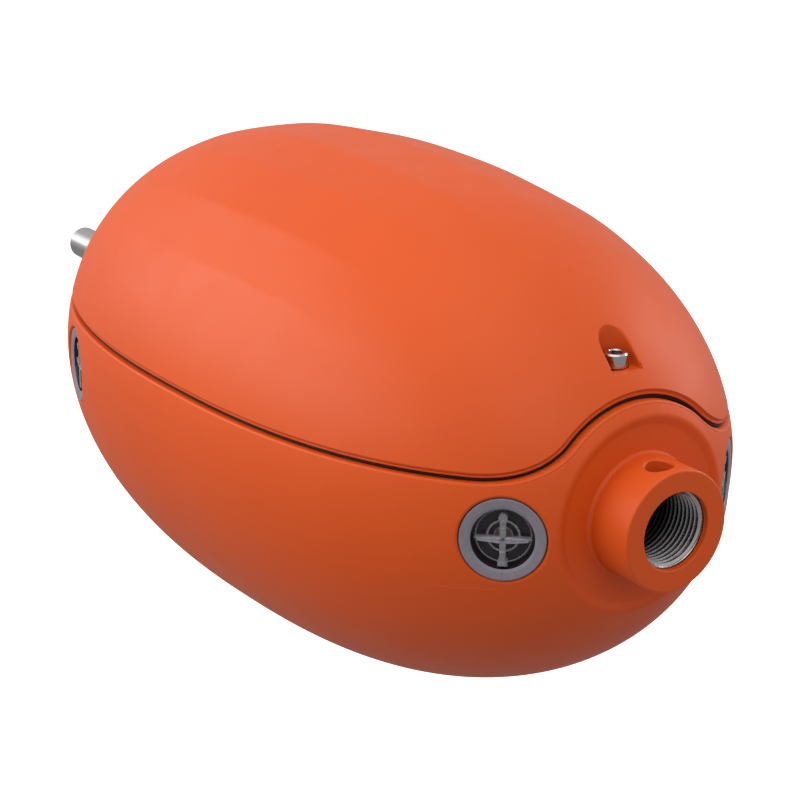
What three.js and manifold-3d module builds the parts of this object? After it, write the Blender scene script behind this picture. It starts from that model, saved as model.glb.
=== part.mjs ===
// Emergency position beacon: an egg-shaped, sealed marker housing with four lamp windows,
// a threaded socket in the nose and a push rod in the tail.
//
// Units are millimetres and +Z is up. The model is laid out with its origin on the long
// axis at the widest station of the egg, +X towards the nose, and the finished group is
// shifted so that the origin is the centre of the nose boss's front face.

import * as THREE from 'three';
import { mergeVertices } from 'three/addons/utils/BufferGeometryUtils.js';
import Module from 'manifold-3d';

const wasm = await Module();
wasm.setup();

// ---------------------------------------------------------------- driving dimensions

const GAP = 0.3; // clearance between two pieces that touch or fit together

// The egg is turned about X. Each half is a superellipse: its length and two exponents.
const EGG_RADIUS = 94.9;
const NOSE_HALF = { end: 170.76, p: 2.64, q: 1.98 };
const TAIL_HALF = { end: -153.11, p: 2.17, q: 2.72 };
const WALL = 4.5;
const EGG_SIDES = 56;
const EGG_STEPS = 11;
const HOLLOW_SIDES = 28;
const HOLLOW_STEPS = 7;

// The seam between the lower case and the cover is level, and arches over the collar.
const SEAM_Z = 17.67;
const SEAM_GAP = 1.5;
const COLLAR_RADIUS = 40;
const SEAM_FILLET = 42;
const FLANGE_WIDTH = 9;
const FLANGE_DEPTH = 5.2;
const GASKET_THICKNESS = 0.9;
const GASKET_INSET = 1.2;
const GASKET_WIDTH = 4;

// Nose: a round recess, and a boss that carries the threaded socket.
const RECESS_RADIUS = 34.75;
const RECESS_DEPTH = 1;
const RECESS_EDGE = 1.6;
const BOSS_RADIUS = 21.5;
const BOSS_HEIGHT = 18.3;
const BOSS_CHAMFER = 0.6;
const NOSE_SKIN = 6.5;
const COLLAR_LENGTH = 24.4;
const MOUTH_RADIUS = 13.75;
const MOUTH_DEPTH = 2.2;
const SOCKET_RADIUS = 12.4;
const BUSH_RADIUS = 16.5;
const LOCK_HOLE_RADIUS = 4.75;
const LOCK_HOLE_BACK = 8.5;
const LOCK_HOLE_TILT = 4;

// Cover screws: socket-head cap screws, M5, each at the bottom of a scooped pocket.
const SCREW_RADIUS = 2.5;
const HEAD_RADIUS = 4.25;
const HEAD_HEIGHT = 5;
const HEX_RADIUS = 2.3;
const HEX_DEPTH = 2.5;
const POCKET_HALF_WIDTH = 6;
const POCKET_WALL = 4.5;
const COVER_HOLE_RADIUS = 2.9;
const SEAL_MEAN_RADIUS = 3.6;
const SEAL_CORD_RADIUS = 0.75;
const INSERT_RADIUS = 4.3;
const FRONT_SCREW = { backFromRecess: 16.4, floor: 48, length: 20, insert: 10.5 };
const REAR_SCREW = { backFromTail: 25.1, floor: 46, length: 35, insert: 5.6 };
const REAR_POST_RADIUS = 7;

// Lamps: two beside the nose and two beside the tail, all at one height.
const LAMP_Z = -2.2;
const FRONT_LAMP_BACK = 11;
const REAR_LAMP_FORWARD = 64.1;
const WINDOW_RADIUS = 14.7;
const WINDOW_INSET = 1.5;
const WINDOW_THICKNESS = 5;
const WINDOW_FACE = 2;
const WINDOW_BORE = 10.4;
const LAMP_SEAT_RADIUS = 18.9;
const LAMP_SEAT_DEPTH = 13;
const LAMP_SEAL_CORD = 0.75;
const LAMP_SEAL_MEAN = 12.9;
const LAMP_BORE = 10.9;
const LAMP_BOARD_THICKNESS = 1.6;
const LED_SIZE = 5;
const LED_HEIGHT = 1.4;
const RETAINER_THICKNESS = 4;

// Tail: a sealed push rod that works the switch inside.
const ROD_RADIUS = 7;
const ROD_PROUD = 84.4;
const ROD_TRAVEL = 5;
const ROD_EDGE = 2;
const GLAND_BOSS_RADIUS = 15;
const GLAND_BOSS_LENGTH = 34.1;
const GLAND_THREAD_RADIUS = 10.5;
const GLAND_THREAD_LENGTH = 12;
const GLAND_FLANGE_RADIUS = 13;
const GLAND_FLANGE_LENGTH = 6;
const GLAND_SEAT_DEPTH = 0.5;
const ROD_SEAL_CORD = 0.85;
const STOP_RING_RADIUS = 10;
const STOP_RING_THICKNESS = 1.5;
const STOP_GROOVE_DEPTH = 1;
const ROD_INNER_LENGTH = 10.4;
const PLUNGER_RADIUS = 3;
const PLUNGER_LENGTH = 12;
const SWITCH_SIZE = { x: 14, y: 18 };
const SWITCH_TOP = 9;

// Inside: a chassis plate on four posts, electronics above it and the battery below.
const PLATE = { rear: -104, front: 92, halfWidth: 56, bottom: -31, thickness: 3 };
const POST_X = 78;
const POST_Y = 48;
const POST_RADIUS = 5;
const PLATE_SCREW = { radius: 2, headRadius: 4, headHeight: 2.6, length: 12 };
const BOARD = { rear: -56, front: 60, halfWidth: 42, thickness: 1.6, standoff: 5 };
const STANDOFF_RADIUS = 3;
const SHIELD = { x: 50, y: 50, z: 6.6, wall: 0.6 };
const BRACKET = { x: -84, length: 20, width: 24, sheet: 2, top: 42 };
const PATCH = { side: 32, height: 8 };
const CELL = { radius: 16.7, length: 61.5, apart: 0.9, underPlate: 3.3 };
const HOLDER = { wall: 2, height: 28, sideRoom: 1.7, endRoom: 2.5 };
const CELL_CAP = { radius: 4.5, height: 1.4, edge: 1 };
const HOLDER_RIB_X = 40;
const HOLDER_RIB_THICKNESS = 3;
const STRAP = { width: 20, thickness: 1.2 };
const CONNECTOR = { flange: 17, flangeThickness: 3.5, barrel: 4.5, barrelLength: 9 };
const LEAD_RADIUS = 1.3;
const LEAD_HOLE_RADIUS = 4;
const BATTERY_LEAD = { holeX: 76, y: 14 };

// ---------------------------------------------------------------- the egg's own geometry

function radiusAt(x) {
  const half = x >= 0 ? NOSE_HALF : TAIL_HALF;
  const share = Math.min(x / half.end, 1);
  return EGG_RADIUS * (1 - share ** half.p) ** (1 / half.q);
}

function stationAt(radius, half) {
  return half.end * (1 - (radius / EGG_RADIUS) ** half.q) ** (1 / half.p);
}

// The outward normal of the egg at a station, as its parts along X and away from the axis.
function normalAt(x) {
  const half = x >= 0 ? NOSE_HALF : TAIL_HALF;
  const along = (half.p / half.end) * (x / half.end) ** (half.p - 1);
  const away = (half.q / EGG_RADIUS) * (radiusAt(x) / EGG_RADIUS) ** (half.q - 1);
  const size = Math.hypot(along, away);
  return [along / size, away / size];
}

// Points [radius, x] on the egg, moved in along its normal, from the tail to a nose station.
function eggOutline(inset, noseEnd, steps) {
  const points = [[0, TAIL_HALF.end + inset]];
  const addPoint = (half, turn) => {
    const x = half.end * Math.sin(turn) ** (2 / half.p);
    const [along, away] = normalAt(x);
    points.push([radiusAt(x) - inset * away, x - inset * along]);
  };
  for (let step = steps - 1; step >= 0; step--) {
    addPoint(TAIL_HALF, (Math.PI / 2) * (step / steps));
  }
  const lastTurn = Math.asin((noseEnd / NOSE_HALF.end) ** (NOSE_HALF.p / 2));
  for (let step = 1; step <= steps; step++) {
    addPoint(NOSE_HALF, lastTurn * (step / steps));
  }
  return points;
}

const RECESS_X = stationAt(RECESS_RADIUS, NOSE_HALF);
const BOSS_X = RECESS_X + BOSS_HEIGHT;
const COLLAR_BACK_X = RECESS_X - COLLAR_LENGTH;
const HOLLOW_END_X = RECESS_X - RECESS_DEPTH - NOSE_SKIN;
const ARCH_BACK_X = COLLAR_BACK_X - 3;
const FAR = 300;

// ---------------------------------------------------------------- geometry helpers

// Carries a shape drawn along Z so that it lies along X: its own X and Y become Y and Z.
const ALONG_X = new THREE.Matrix4().makeBasis(
  new THREE.Vector3(0, 1, 0),
  new THREE.Vector3(0, 0, 1),
  new THREE.Vector3(1, 0, 0),
);

function toSolid(geometry) {
  const bare = geometry.clone();
  bare.deleteAttribute('normal');
  bare.deleteAttribute('uv');
  const merged = mergeVertices(bare, 1e-4);
  const corners = merged.index.array;
  const kept = [];
  for (let i = 0; i < corners.length; i += 3) {
    const [a, b, c] = [corners[i], corners[i + 1], corners[i + 2]];
    if (a !== b && b !== c && c !== a) kept.push(a, b, c);
  }
  return new wasm.Manifold(new wasm.Mesh({
    numProp: 3,
    vertProperties: new Float32Array(merged.attributes.position.array),
    triVerts: new Uint32Array(kept),
  }));
}

function toGeometry(solid) {
  const { vertProperties, triVerts } = solid.getMesh();
  const geometry = new THREE.BufferGeometry();
  geometry.setAttribute('position', new THREE.BufferAttribute(new Float32Array(vertProperties), 3));
  geometry.setIndex(new THREE.BufferAttribute(new Uint32Array(triVerts), 1));
  geometry.computeVertexNormals();
  return geometry;
}

// A profile of [radius, height] points turned about Z. It either starts and ends on the
// axis or, when it starts away from it, is closed into a ring.
function turned(profile, sides = 24) {
  const points = profile.map(([radius, height]) => new THREE.Vector2(radius, height));
  if (profile[0][0] > 0) points.push(points[0].clone());
  if (THREE.ShapeUtils.area(points) < 0) points.reverse();
  return toSolid(new THREE.LatheGeometry(points, sides).rotateX(Math.PI / 2));
}

function turnedX(profile, sides = 24) {
  return placed(turned(profile, sides), ALONG_X);
}

function rod(radius, from, to, sides = 24) {
  return turned([[0, from], [radius, from], [radius, to], [0, to]], sides);
}

function rodX(radius, from, to, sides = 24) {
  return placed(rod(radius, from, to, sides), ALONG_X);
}

function tube(outer, inner, from, to, sides = 24) {
  return turned([[inner, from], [outer, from], [outer, to], [inner, to]], sides);
}

function ring(meanRadius, cordRadius, height) {
  const torus = new THREE.TorusGeometry(meanRadius, cordRadius, 6, 18);
  return toSolid(torus.translate(0, 0, height));
}

function box([x0, x1], [y0, y1], [z0, z1]) {
  const geometry = new THREE.BoxGeometry(x1 - x0, y1 - y0, z1 - z0);
  return toSolid(geometry.translate((x0 + x1) / 2, (y0 + y1) / 2, (z0 + z1) / 2));
}

function placed(solid, matrix) {
  return toSolid(toGeometry(solid).applyMatrix4(matrix));
}

function moved(solid, x, y, z) {
  return placed(solid, new THREE.Matrix4().makeTranslation(x, y, z));
}

function join(...solids) {
  return solids.reduce((whole, next) => whole.add(next));
}

function cut(solid, ...tools) {
  return tools.reduce((rest, tool) => rest.subtract(tool), solid);
}

// Fills any closed pocket of air that the inner walls of a casting shut in between them.
function withoutVoids(solid) {
  const skins = solid.decompose();
  return skins.reduce((largest, skin) => (skin.volume() > largest.volume() ? skin : largest));
}

// ---------------------------------------------------------------- shared solids

// The whole outside: the egg up to the recess, the recess and the boss.
function outsideSolid() {
  const profile = eggOutline(0, RECESS_X, EGG_STEPS);
  profile.push([RECESS_RADIUS - RECESS_EDGE, RECESS_X - RECESS_DEPTH]);
  profile.push([BOSS_RADIUS, RECESS_X - RECESS_DEPTH]);
  profile.push([BOSS_RADIUS, BOSS_X - BOSS_CHAMFER]);
  profile.push([BOSS_RADIUS - BOSS_CHAMFER, BOSS_X]);
  profile.push([0, BOSS_X]);
  return turnedX(profile, EGG_SIDES);
}

// The egg without its boss, moved in by an inset and cut off level at a nose station.
function insetEgg(inset, noseEnd) {
  const profile = eggOutline(inset, noseEnd, HOLLOW_STEPS);
  profile.push([0, profile[profile.length - 1][1]]);
  return turnedX(profile, HOLLOW_SIDES);
}

// Everything under the seam: a level half-space, with the arch that follows the collar
// and runs out into the level part through a fillet on each side. An offset of the
// surface leaves room for the gasket.
function underSeam(offset) {
  const centreY = Math.sqrt((COLLAR_RADIUS + SEAM_FILLET) ** 2 - (SEAM_Z + SEAM_FILLET) ** 2);
  const centreZ = SEAM_Z + SEAM_FILLET;
  const meet = Math.atan2(centreZ, centreY);
  const level = SEAM_Z + offset;
  const fillet = SEAM_FILLET - offset;
  const section = new THREE.Shape();
  section.moveTo(-centreY, level - FLANGE_DEPTH);
  section.lineTo(centreY, level - FLANGE_DEPTH);
  section.lineTo(centreY, level);
  section.absarc(centreY, centreZ, fillet, -Math.PI / 2, meet - Math.PI, true);
  section.absarc(0, 0, COLLAR_RADIUS + offset, meet, Math.PI - meet, false);
  section.absarc(-centreY, centreZ, fillet, -meet, -Math.PI / 2, true);
  const arch = new THREE.ExtrudeGeometry(section, {
    depth: FAR - ARCH_BACK_X,
    bevelEnabled: false,
    curveSegments: 10,
  });
  arch.translate(0, 0, ARCH_BACK_X).applyMatrix4(ALONG_X);
  return join(box([-FAR, FAR], [-FAR, FAR], [-FAR, level]), toSolid(arch));
}

const outside = outsideSolid();
const hollow = insetEgg(WALL, HOLLOW_END_X);
const shell = cut(outside, hollow);
// Inner walls, posts and bosses reach this far into the skin, and never to its outside.
const insideSkin = insetEgg(WALL / 2, RECESS_X);
const flangeZone = cut(insideSkin, insetEgg(FLANGE_WIDTH, HOLLOW_END_X));
const underLower = underSeam(-SEAM_GAP / 2);
const underCover = underSeam(SEAM_GAP / 2);

// ---------------------------------------------------------------- cover screws

// Each cover screw stands upright at x on the centre line. `toward` is +1 when its
// pocket runs out of the egg towards the nose and -1 when it runs out towards the tail.
const screwPlaces = {
  front: { ...FRONT_SCREW, x: RECESS_X - FRONT_SCREW.backFromRecess, toward: 1 },
  rear: { ...REAR_SCREW, x: TAIL_HALF.end + REAR_SCREW.backFromTail, toward: -1 },
};
const sealDepth = 2 * SEAL_CORD_RADIUS + 0.4;

// A scoop with upright walls and a flat floor: round behind the screw and open ahead.
function pocketSolid(halfWidth, floor) {
  const plan = new THREE.Shape();
  plan.moveTo(FAR, -halfWidth);
  plan.lineTo(FAR, halfWidth);
  plan.lineTo(0, halfWidth);
  plan.absarc(0, 0, halfWidth, Math.PI / 2, Math.PI * 1.5, false);
  const geometry = new THREE.ExtrudeGeometry(plan, {
    depth: FAR - floor,
    bevelEnabled: false,
    curveSegments: 8,
  });
  return toSolid(geometry.translate(0, 0, floor));
}

function facing(place, solid) {
  const turn = new THREE.Matrix4().makeRotationZ(place.toward > 0 ? 0 : Math.PI);
  return moved(placed(solid, turn), place.x, 0, 0);
}

function pocketBlock(place) {
  return facing(place, pocketSolid(POCKET_HALF_WIDTH + POCKET_WALL, place.floor - POCKET_WALL));
}

function pocketCut(place) {
  return facing(place, pocketSolid(POCKET_HALF_WIDTH, place.floor));
}

function coverHole(place) {
  const { floor } = place;
  const seat = rod(SEAL_MEAN_RADIUS + SEAL_CORD_RADIUS + GAP, floor - sealDepth, floor + 1, 16);
  const hole = rod(COVER_HOLE_RADIUS, 0, floor + 1, 16);
  return moved(join(seat, hole), place.x, 0, 0);
}

// The top of the metal under a screw, which the insert is let into.
const insertTop = {
  front: COLLAR_RADIUS - SEAM_GAP / 2 - 1,
  rear: SEAM_Z - SEAM_GAP / 2 - GAP,
};

function insertSpan(end) {
  return [insertTop[end] - screwPlaces[end].insert, insertTop[end]];
}

function insertHole(end) {
  const [bottom] = insertSpan(end);
  return moved(rod(INSERT_RADIUS + GAP, bottom - GAP, FAR, 16), screwPlaces[end].x, 0, 0);
}

function coverScrew(place) {
  const headBottom = place.floor + GAP;
  const headTop = headBottom + HEAD_HEIGHT;
  const body = turned([
    [0, headBottom - place.length],
    [SCREW_RADIUS - 0.5, headBottom - place.length],
    [SCREW_RADIUS, headBottom - place.length + 0.5],
    [SCREW_RADIUS, headBottom],
    [HEAD_RADIUS, headBottom],
    [HEAD_RADIUS, headTop - 0.4],
    [HEAD_RADIUS - 0.4, headTop],
    [0, headTop],
  ]);
  const hex = rod(HEX_RADIUS, headTop - HEX_DEPTH, headTop + 1, 6);
  return moved(cut(body, hex), place.x, 0, 0);
}

function screwSeal(place) {
  const height = place.floor - sealDepth / 2;
  return moved(ring(SEAL_MEAN_RADIUS, SEAL_CORD_RADIUS, height), place.x, 0, 0);
}

function screwInsert(end) {
  const [bottom, top] = insertSpan(end);
  return moved(tube(INSERT_RADIUS, SCREW_RADIUS + GAP, bottom, top, 16), screwPlaces[end].x, 0, 0);
}

// ---------------------------------------------------------------- lamps

const lampPlaces = [];
for (const [end, x] of [
  ['front', RECESS_X - FRONT_LAMP_BACK],
  ['rear', TAIL_HALF.end + REAR_LAMP_FORWARD],
]) {
  lampPlaces.push({ name: `${end}_left`, x, side: 1 });
  lampPlaces.push({ name: `${end}_right`, x, side: -1 });
}

// A lamp's own Z points straight out of the egg and its Y points up.
function lampMatrix({ x, side }) {
  const [along, away] = normalAt(x);
  const out = new THREE.Vector3(along, side * away, 0);
  const up = new THREE.Vector3(0, 0, 1);
  const across = new THREE.Vector3().crossVectors(up, out);
  const matrix = new THREE.Matrix4().makeBasis(across, up, out);
  matrix.setPosition(x, side * Math.sqrt(radiusAt(x) ** 2 - LAMP_Z ** 2), LAMP_Z);
  return matrix;
}

const windowBack = -WINDOW_INSET - WINDOW_THICKNESS;
const lampSeatFloor = windowBack - 2 * LAMP_SEAL_CORD - 0.4;
const lampBoardTop = windowBack - 0.8;
const lampBoardBottom = lampBoardTop - LAMP_BOARD_THICKNESS;
const retainerBottom = lampBoardBottom - GAP - RETAINER_THICKNESS;

function lampSeat(place) {
  return placed(rod(LAMP_SEAT_RADIUS, -LAMP_SEAT_DEPTH, 8, 20), lampMatrix(place));
}

function lampPocket(place) {
  const mouth = rod(WINDOW_RADIUS + GAP, lampSeatFloor, FAR, 28);
  const bore = rod(LAMP_BORE, -2 * LAMP_SEAT_DEPTH, 0, 20);
  return placed(join(mouth, bore), lampMatrix(place));
}

// The window is a thick round pane, frosted at its rim and bored out behind its face.
function lampWindow() {
  return turned([
    [0, -WINDOW_INSET - WINDOW_FACE],
    [WINDOW_BORE, -WINDOW_INSET - WINDOW_FACE],
    [WINDOW_BORE, windowBack],
    [WINDOW_RADIUS, windowBack],
    [WINDOW_RADIUS, -WINDOW_INSET - 0.4],
    [WINDOW_RADIUS - 0.4, -WINDOW_INSET],
    [0, -WINDOW_INSET],
  ], 28);
}

function lampSeal() {
  return ring(LAMP_SEAL_MEAN, LAMP_SEAL_CORD, (windowBack + lampSeatFloor) / 2);
}

function lampBoard() {
  return rod(LAMP_BORE - GAP, lampBoardBottom, lampBoardTop, 20);
}

function lampLed() {
  const half = LED_SIZE / 2;
  const base = lampBoardTop + GAP;
  return box([-half, half], [-half, half], [base, base + LED_HEIGHT]);
}

function lampRetainer() {
  return tube(LAMP_BORE - GAP, 6, retainerBottom, lampBoardBottom - GAP, 20);
}

// ---------------------------------------------------------------- tail rod

const TAIL_FACE_X = TAIL_HALF.end + GLAND_SEAT_DEPTH;
const glandBossEnd = TAIL_HALF.end + GLAND_BOSS_LENGTH;
const glandThreadEnd = TAIL_FACE_X + GLAND_THREAD_LENGTH;
const rodSealEnd = glandThreadEnd + 2 * ROD_SEAL_CORD + 1;
const rodTip = TAIL_HALF.end - ROD_PROUD;
const rodEnd = glandBossEnd + GAP + STOP_RING_THICKNESS + ROD_INNER_LENGTH;
const switchFace = rodEnd + ROD_TRAVEL + 1;

function glandBore() {
  const rodHole = rodX(ROD_RADIUS + GAP, -FAR, glandBossEnd + 1);
  const sealRoom = rodX(ROD_RADIUS + 2 * ROD_SEAL_CORD + 2 * GAP, -FAR, rodSealEnd);
  const thread = rodX(GLAND_THREAD_RADIUS + GAP, -FAR, glandThreadEnd + GAP);
  const face = rodX(GLAND_FLANGE_RADIUS + 2, -FAR, TAIL_FACE_X);
  return join(rodHole, sealRoom, thread, face);
}

function tailRod() {
  const grooveStart = glandBossEnd + GAP;
  const grooveEnd = grooveStart + STOP_RING_THICKNESS + GAP;
  const neck = ROD_RADIUS - STOP_GROOVE_DEPTH;
  return turnedX([
    [0, rodTip],
    [ROD_RADIUS - ROD_EDGE, rodTip],
    [ROD_RADIUS - ROD_EDGE * 0.3, rodTip + ROD_EDGE * 0.3],
    [ROD_RADIUS, rodTip + ROD_EDGE],
    [ROD_RADIUS, grooveStart],
    [neck, grooveStart],
    [neck, grooveEnd],
    [ROD_RADIUS, grooveEnd],
    [ROD_RADIUS, rodEnd],
    [0, rodEnd],
  ], 20);
}

function glandNut() {
  const flangeBack = TAIL_FACE_X - GAP;
  const flange = rodX(GLAND_FLANGE_RADIUS, flangeBack - GLAND_FLANGE_LENGTH, flangeBack, 6);
  const thread = rodX(GLAND_THREAD_RADIUS, flangeBack - 1, glandThreadEnd - GAP);
  return cut(join(flange, thread), rodX(ROD_RADIUS + GAP, -FAR, FAR));
}

function rodSeal() {
  const seal = ring(ROD_RADIUS + GAP + ROD_SEAL_CORD, ROD_SEAL_CORD, 0);
  return placed(seal, ALONG_X.clone().setPosition((glandThreadEnd + GAP + rodSealEnd) / 2, 0, 0));
}

// A retaining ring in the rod's groove, open underneath so that it can be sprung on.
function stopRing() {
  const start = glandBossEnd + GAP + 0.15;
  const whole = placed(
    tube(STOP_RING_RADIUS, ROD_RADIUS - STOP_GROOVE_DEPTH + GAP, start, start + STOP_RING_THICKNESS),
    ALONG_X,
  );
  return cut(whole, box([start - 5, start + 5], [-3.5, 3.5], [-STOP_RING_RADIUS - 1, 0]));
}

function rodSwitch() {
  const half = SWITCH_SIZE.y / 2;
  const body = box(
    [switchFace, switchFace + SWITCH_SIZE.x],
    [-half, half],
    [PLATE.bottom + PLATE.thickness + GAP, SWITCH_TOP],
  );
  const holeEnd = rodEnd + GAP + PLUNGER_LENGTH + ROD_TRAVEL + 0.5;
  return cut(body, rodX(PLUNGER_RADIUS + GAP, switchFace - 1, holeEnd, 16));
}

function switchPlunger() {
  return rodX(PLUNGER_RADIUS, rodEnd + GAP, rodEnd + GAP + PLUNGER_LENGTH, 16);
}

// ---------------------------------------------------------------- nose

const bushFront = BOSS_X - MOUTH_DEPTH - GAP;
const connectorFlangeFront = COLLAR_BACK_X - GAP;

function noseBore() {
  const mouth = rodX(MOUTH_RADIUS, COLLAR_BACK_X - 1, FAR, 32);
  const bushRoom = rodX(BUSH_RADIUS + GAP, COLLAR_BACK_X - 1, BOSS_X - MOUTH_DEPTH, 32);
  return join(mouth, bushRoom);
}

// The cross hole in the top of the boss, for the pin or screw that locks what is fitted.
function lockHole(radius, top) {
  const hole = rod(radius, 0, top, 20);
  const tilt = new THREE.Matrix4().makeRotationX(THREE.MathUtils.degToRad(LOCK_HOLE_TILT));
  return moved(placed(hole, tilt), BOSS_X - LOCK_HOLE_BACK, 0, 0);
}

function threadBush() {
  const body = placed(tube(BUSH_RADIUS, SOCKET_RADIUS, COLLAR_BACK_X, bushFront, 32), ALONG_X);
  return cut(body, lockHole(LOCK_HOLE_RADIUS, FAR));
}

function antennaConnector() {
  const { flange, flangeThickness, barrel, barrelLength } = CONNECTOR;
  const back = connectorFlangeFront - flangeThickness;
  return turnedX([
    [0, back - 6],
    [barrel - 1, back - 6],
    [barrel - 1, back],
    [flange, back],
    [flange, connectorFlangeFront],
    [barrel, connectorFlangeFront],
    [barrel, connectorFlangeFront + barrelLength],
    [0, connectorFlangeFront + barrelLength],
  ]);
}

// ---------------------------------------------------------------- the two shells

// A ledge all round the inside of the seam, between two levels measured from the seam.
function flange(from, to) {
  return flangeZone.intersect(cut(underSeam(to), underSeam(from)));
}

function chassisPosts() {
  const posts = [];
  for (const x of [-POST_X, POST_X]) {
    for (const y of [-POST_Y, POST_Y]) {
      const post = cut(
        rod(POST_RADIUS, -EGG_RADIUS, PLATE.bottom - GAP, 12),
        rod(PLATE_SCREW.radius + GAP, PLATE.bottom - PLATE_SCREW.length, 0, 12),
      );
      posts.push(moved(post, x, y, 0));
    }
  }
  return posts;
}

const cellY = CELL.radius + CELL.apart;
const cellZ = PLATE.bottom - CELL.underPlate - CELL.radius;
const holderBottom = cellZ - CELL.radius - GAP - HOLDER.wall;
const holderHalfWidth = cellY + CELL.radius + HOLDER.sideRoom + HOLDER.wall;
const holderHalfLength = CELL.length + HOLDER.endRoom + HOLDER.wall;

function holderRibs() {
  return [-HOLDER_RIB_X, HOLDER_RIB_X].map((x) => box(
    [x - HOLDER_RIB_THICKNESS / 2, x + HOLDER_RIB_THICKNESS / 2],
    [-holderHalfWidth, holderHalfWidth],
    [-EGG_RADIUS, holderBottom - GAP],
  ));
}

function lowerCase() {
  const collar = rodX(COLLAR_RADIUS, COLLAR_BACK_X, HOLLOW_END_X + 1, HOLLOW_SIDES)
    .intersect(box([0, FAR], [-FAR, FAR], [0, FAR]));
  const bossTube = rodX(BOSS_RADIUS, COLLAR_BACK_X, HOLLOW_END_X + 1, HOLLOW_SIDES);
  const glandBoss = rodX(GLAND_BOSS_RADIUS, TAIL_HALF.end, glandBossEnd, 20);
  const rearX = screwPlaces.rear.x;
  const rearBlock = box(
    [TAIL_HALF.end, rearX + REAR_POST_RADIUS],
    [-REAR_POST_RADIUS, REAR_POST_RADIUS],
    [0, SEAM_Z],
  );
  const inside = join(
    collar, bossTube, glandBoss, rearBlock,
    ...lampPlaces.map(lampSeat),
    ...chassisPosts(),
    ...holderRibs(),
    flange(-FLANGE_DEPTH - SEAM_GAP, 0),
  ).intersect(insideSkin);
  const whole = join(shell, inside).intersect(underLower);
  return withoutVoids(cut(
    whole, noseBore(), lockHole(LOCK_HOLE_RADIUS, FAR), glandBore(),
    insertHole('front'), insertHole('rear'),
    ...lampPlaces.map(lampPocket),
  ));
}

// The front pocket's block carries on down to the arch over the collar.
function frontPost() {
  const place = screwPlaces.front;
  const halfWidth = POCKET_HALF_WIDTH + POCKET_WALL;
  return box([place.x - halfWidth, FAR], [-halfWidth, halfWidth], [SEAM_Z, place.floor]);
}

function topCover() {
  const rear = screwPlaces.rear;
  const rearPost = moved(rod(REAR_POST_RADIUS, 0, rear.floor, 20), rear.x, 0, 0);
  const inside = join(
    pocketBlock(screwPlaces.front),
    pocketBlock(rear),
    frontPost(),
    rearPost,
    flange(0, FLANGE_DEPTH + SEAM_GAP),
  ).intersect(insideSkin);
  const whole = cut(join(shell, inside), underCover);
  return cut(
    whole,
    pocketCut(screwPlaces.front), coverHole(screwPlaces.front),
    pocketCut(rear), coverHole(rear),
  );
}

function sealGasket() {
  const half = GASKET_THICKNESS / 2;
  const band = cut(underSeam(half), underSeam(-half));
  const outer = insetEgg(GASKET_INSET, RECESS_X);
  const inner = insetEgg(GASKET_INSET + GASKET_WIDTH, RECESS_X);
  return band.intersect(cut(outer, inner));
}

// ---------------------------------------------------------------- chassis and electronics

const plateTop = PLATE.bottom + PLATE.thickness;
const boardBottom = plateTop + BOARD.standoff + GAP;
const boardTop = boardBottom + BOARD.thickness;

function atCorners(solid, xs, y) {
  return xs.flatMap((x) => [moved(solid, x, -y, 0), moved(solid, x, y, 0)]);
}

function chassisPlate() {
  const { rear, front, halfWidth, bottom } = PLATE;
  const sheet = box([rear, front], [-halfWidth, halfWidth], [bottom, plateTop]);
  const standoff = rod(STANDOFF_RADIUS, bottom + 1, boardBottom - GAP, 12);
  const holes = rod(PLATE_SCREW.radius + GAP, bottom - 1, plateTop + 1, 12);
  const leadHole = rod(LEAD_HOLE_RADIUS, bottom - 1, plateTop + 1, 16);
  return cut(
    join(sheet, ...atCorners(standoff, [BOARD.rear + 6, BOARD.front - 6], BOARD.halfWidth - 6)),
    ...atCorners(holes, [-POST_X, POST_X], POST_Y),
    moved(leadHole, BATTERY_LEAD.holeX, BATTERY_LEAD.y, 0),
  );
}

function plateScrew() {
  const { radius, headRadius, headHeight, length } = PLATE_SCREW;
  const seat = plateTop + GAP;
  const tip = PLATE.bottom - length + GAP;
  const body = turned([
    [0, tip], [radius, tip], [radius, seat], [headRadius, seat],
    [headRadius, seat + headHeight - 0.8], [headRadius - 1, seat + headHeight], [0, seat + headHeight],
  ], 16);
  return cut(body, rod(1.5, seat + headHeight - 1.4, FAR, 6));
}

function mainBoard() {
  const { rear, front, halfWidth } = BOARD;
  return box([rear, front], [-halfWidth, halfWidth], [boardBottom, boardTop]);
}

function rfShield() {
  const base = boardTop + GAP;
  const centreX = (BOARD.rear + BOARD.front) / 2 + 10;
  const can = (grow, low, high) => box(
    [centreX - SHIELD.x / 2 + grow, centreX + SHIELD.x / 2 - grow],
    [-SHIELD.y / 2 + grow, SHIELD.y / 2 - grow],
    [low, high],
  );
  const wall = SHIELD.wall;
  return cut(can(0, base, base + SHIELD.z), can(wall, base - 1, base + SHIELD.z - wall));
}

// A bent sheet bracket that lifts the satellite-positioning antenna clear of the board.
function antennaBracket() {
  const { x, length, width, sheet, top } = BRACKET;
  const foot = plateTop + GAP;
  return join(
    box([x, x + length], [-width / 2, width / 2], [foot, foot + sheet]),
    box([x, x + sheet], [-width / 2, width / 2], [foot, top]),
    box([x, x + PATCH.side], [-PATCH.side / 2, PATCH.side / 2], [top - sheet, top]),
  );
}

function gnssAntenna() {
  const base = BRACKET.top + GAP;
  const half = PATCH.side / 2;
  const can = box([BRACKET.x, BRACKET.x + PATCH.side], [-half, half], [base, base + PATCH.height - 2]);
  const patch = box(
    [BRACKET.x + 3, BRACKET.x + PATCH.side - 3],
    [3 - half, half - 3],
    [base + 1, base + PATCH.height],
  );
  return join(can, patch);
}

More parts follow.
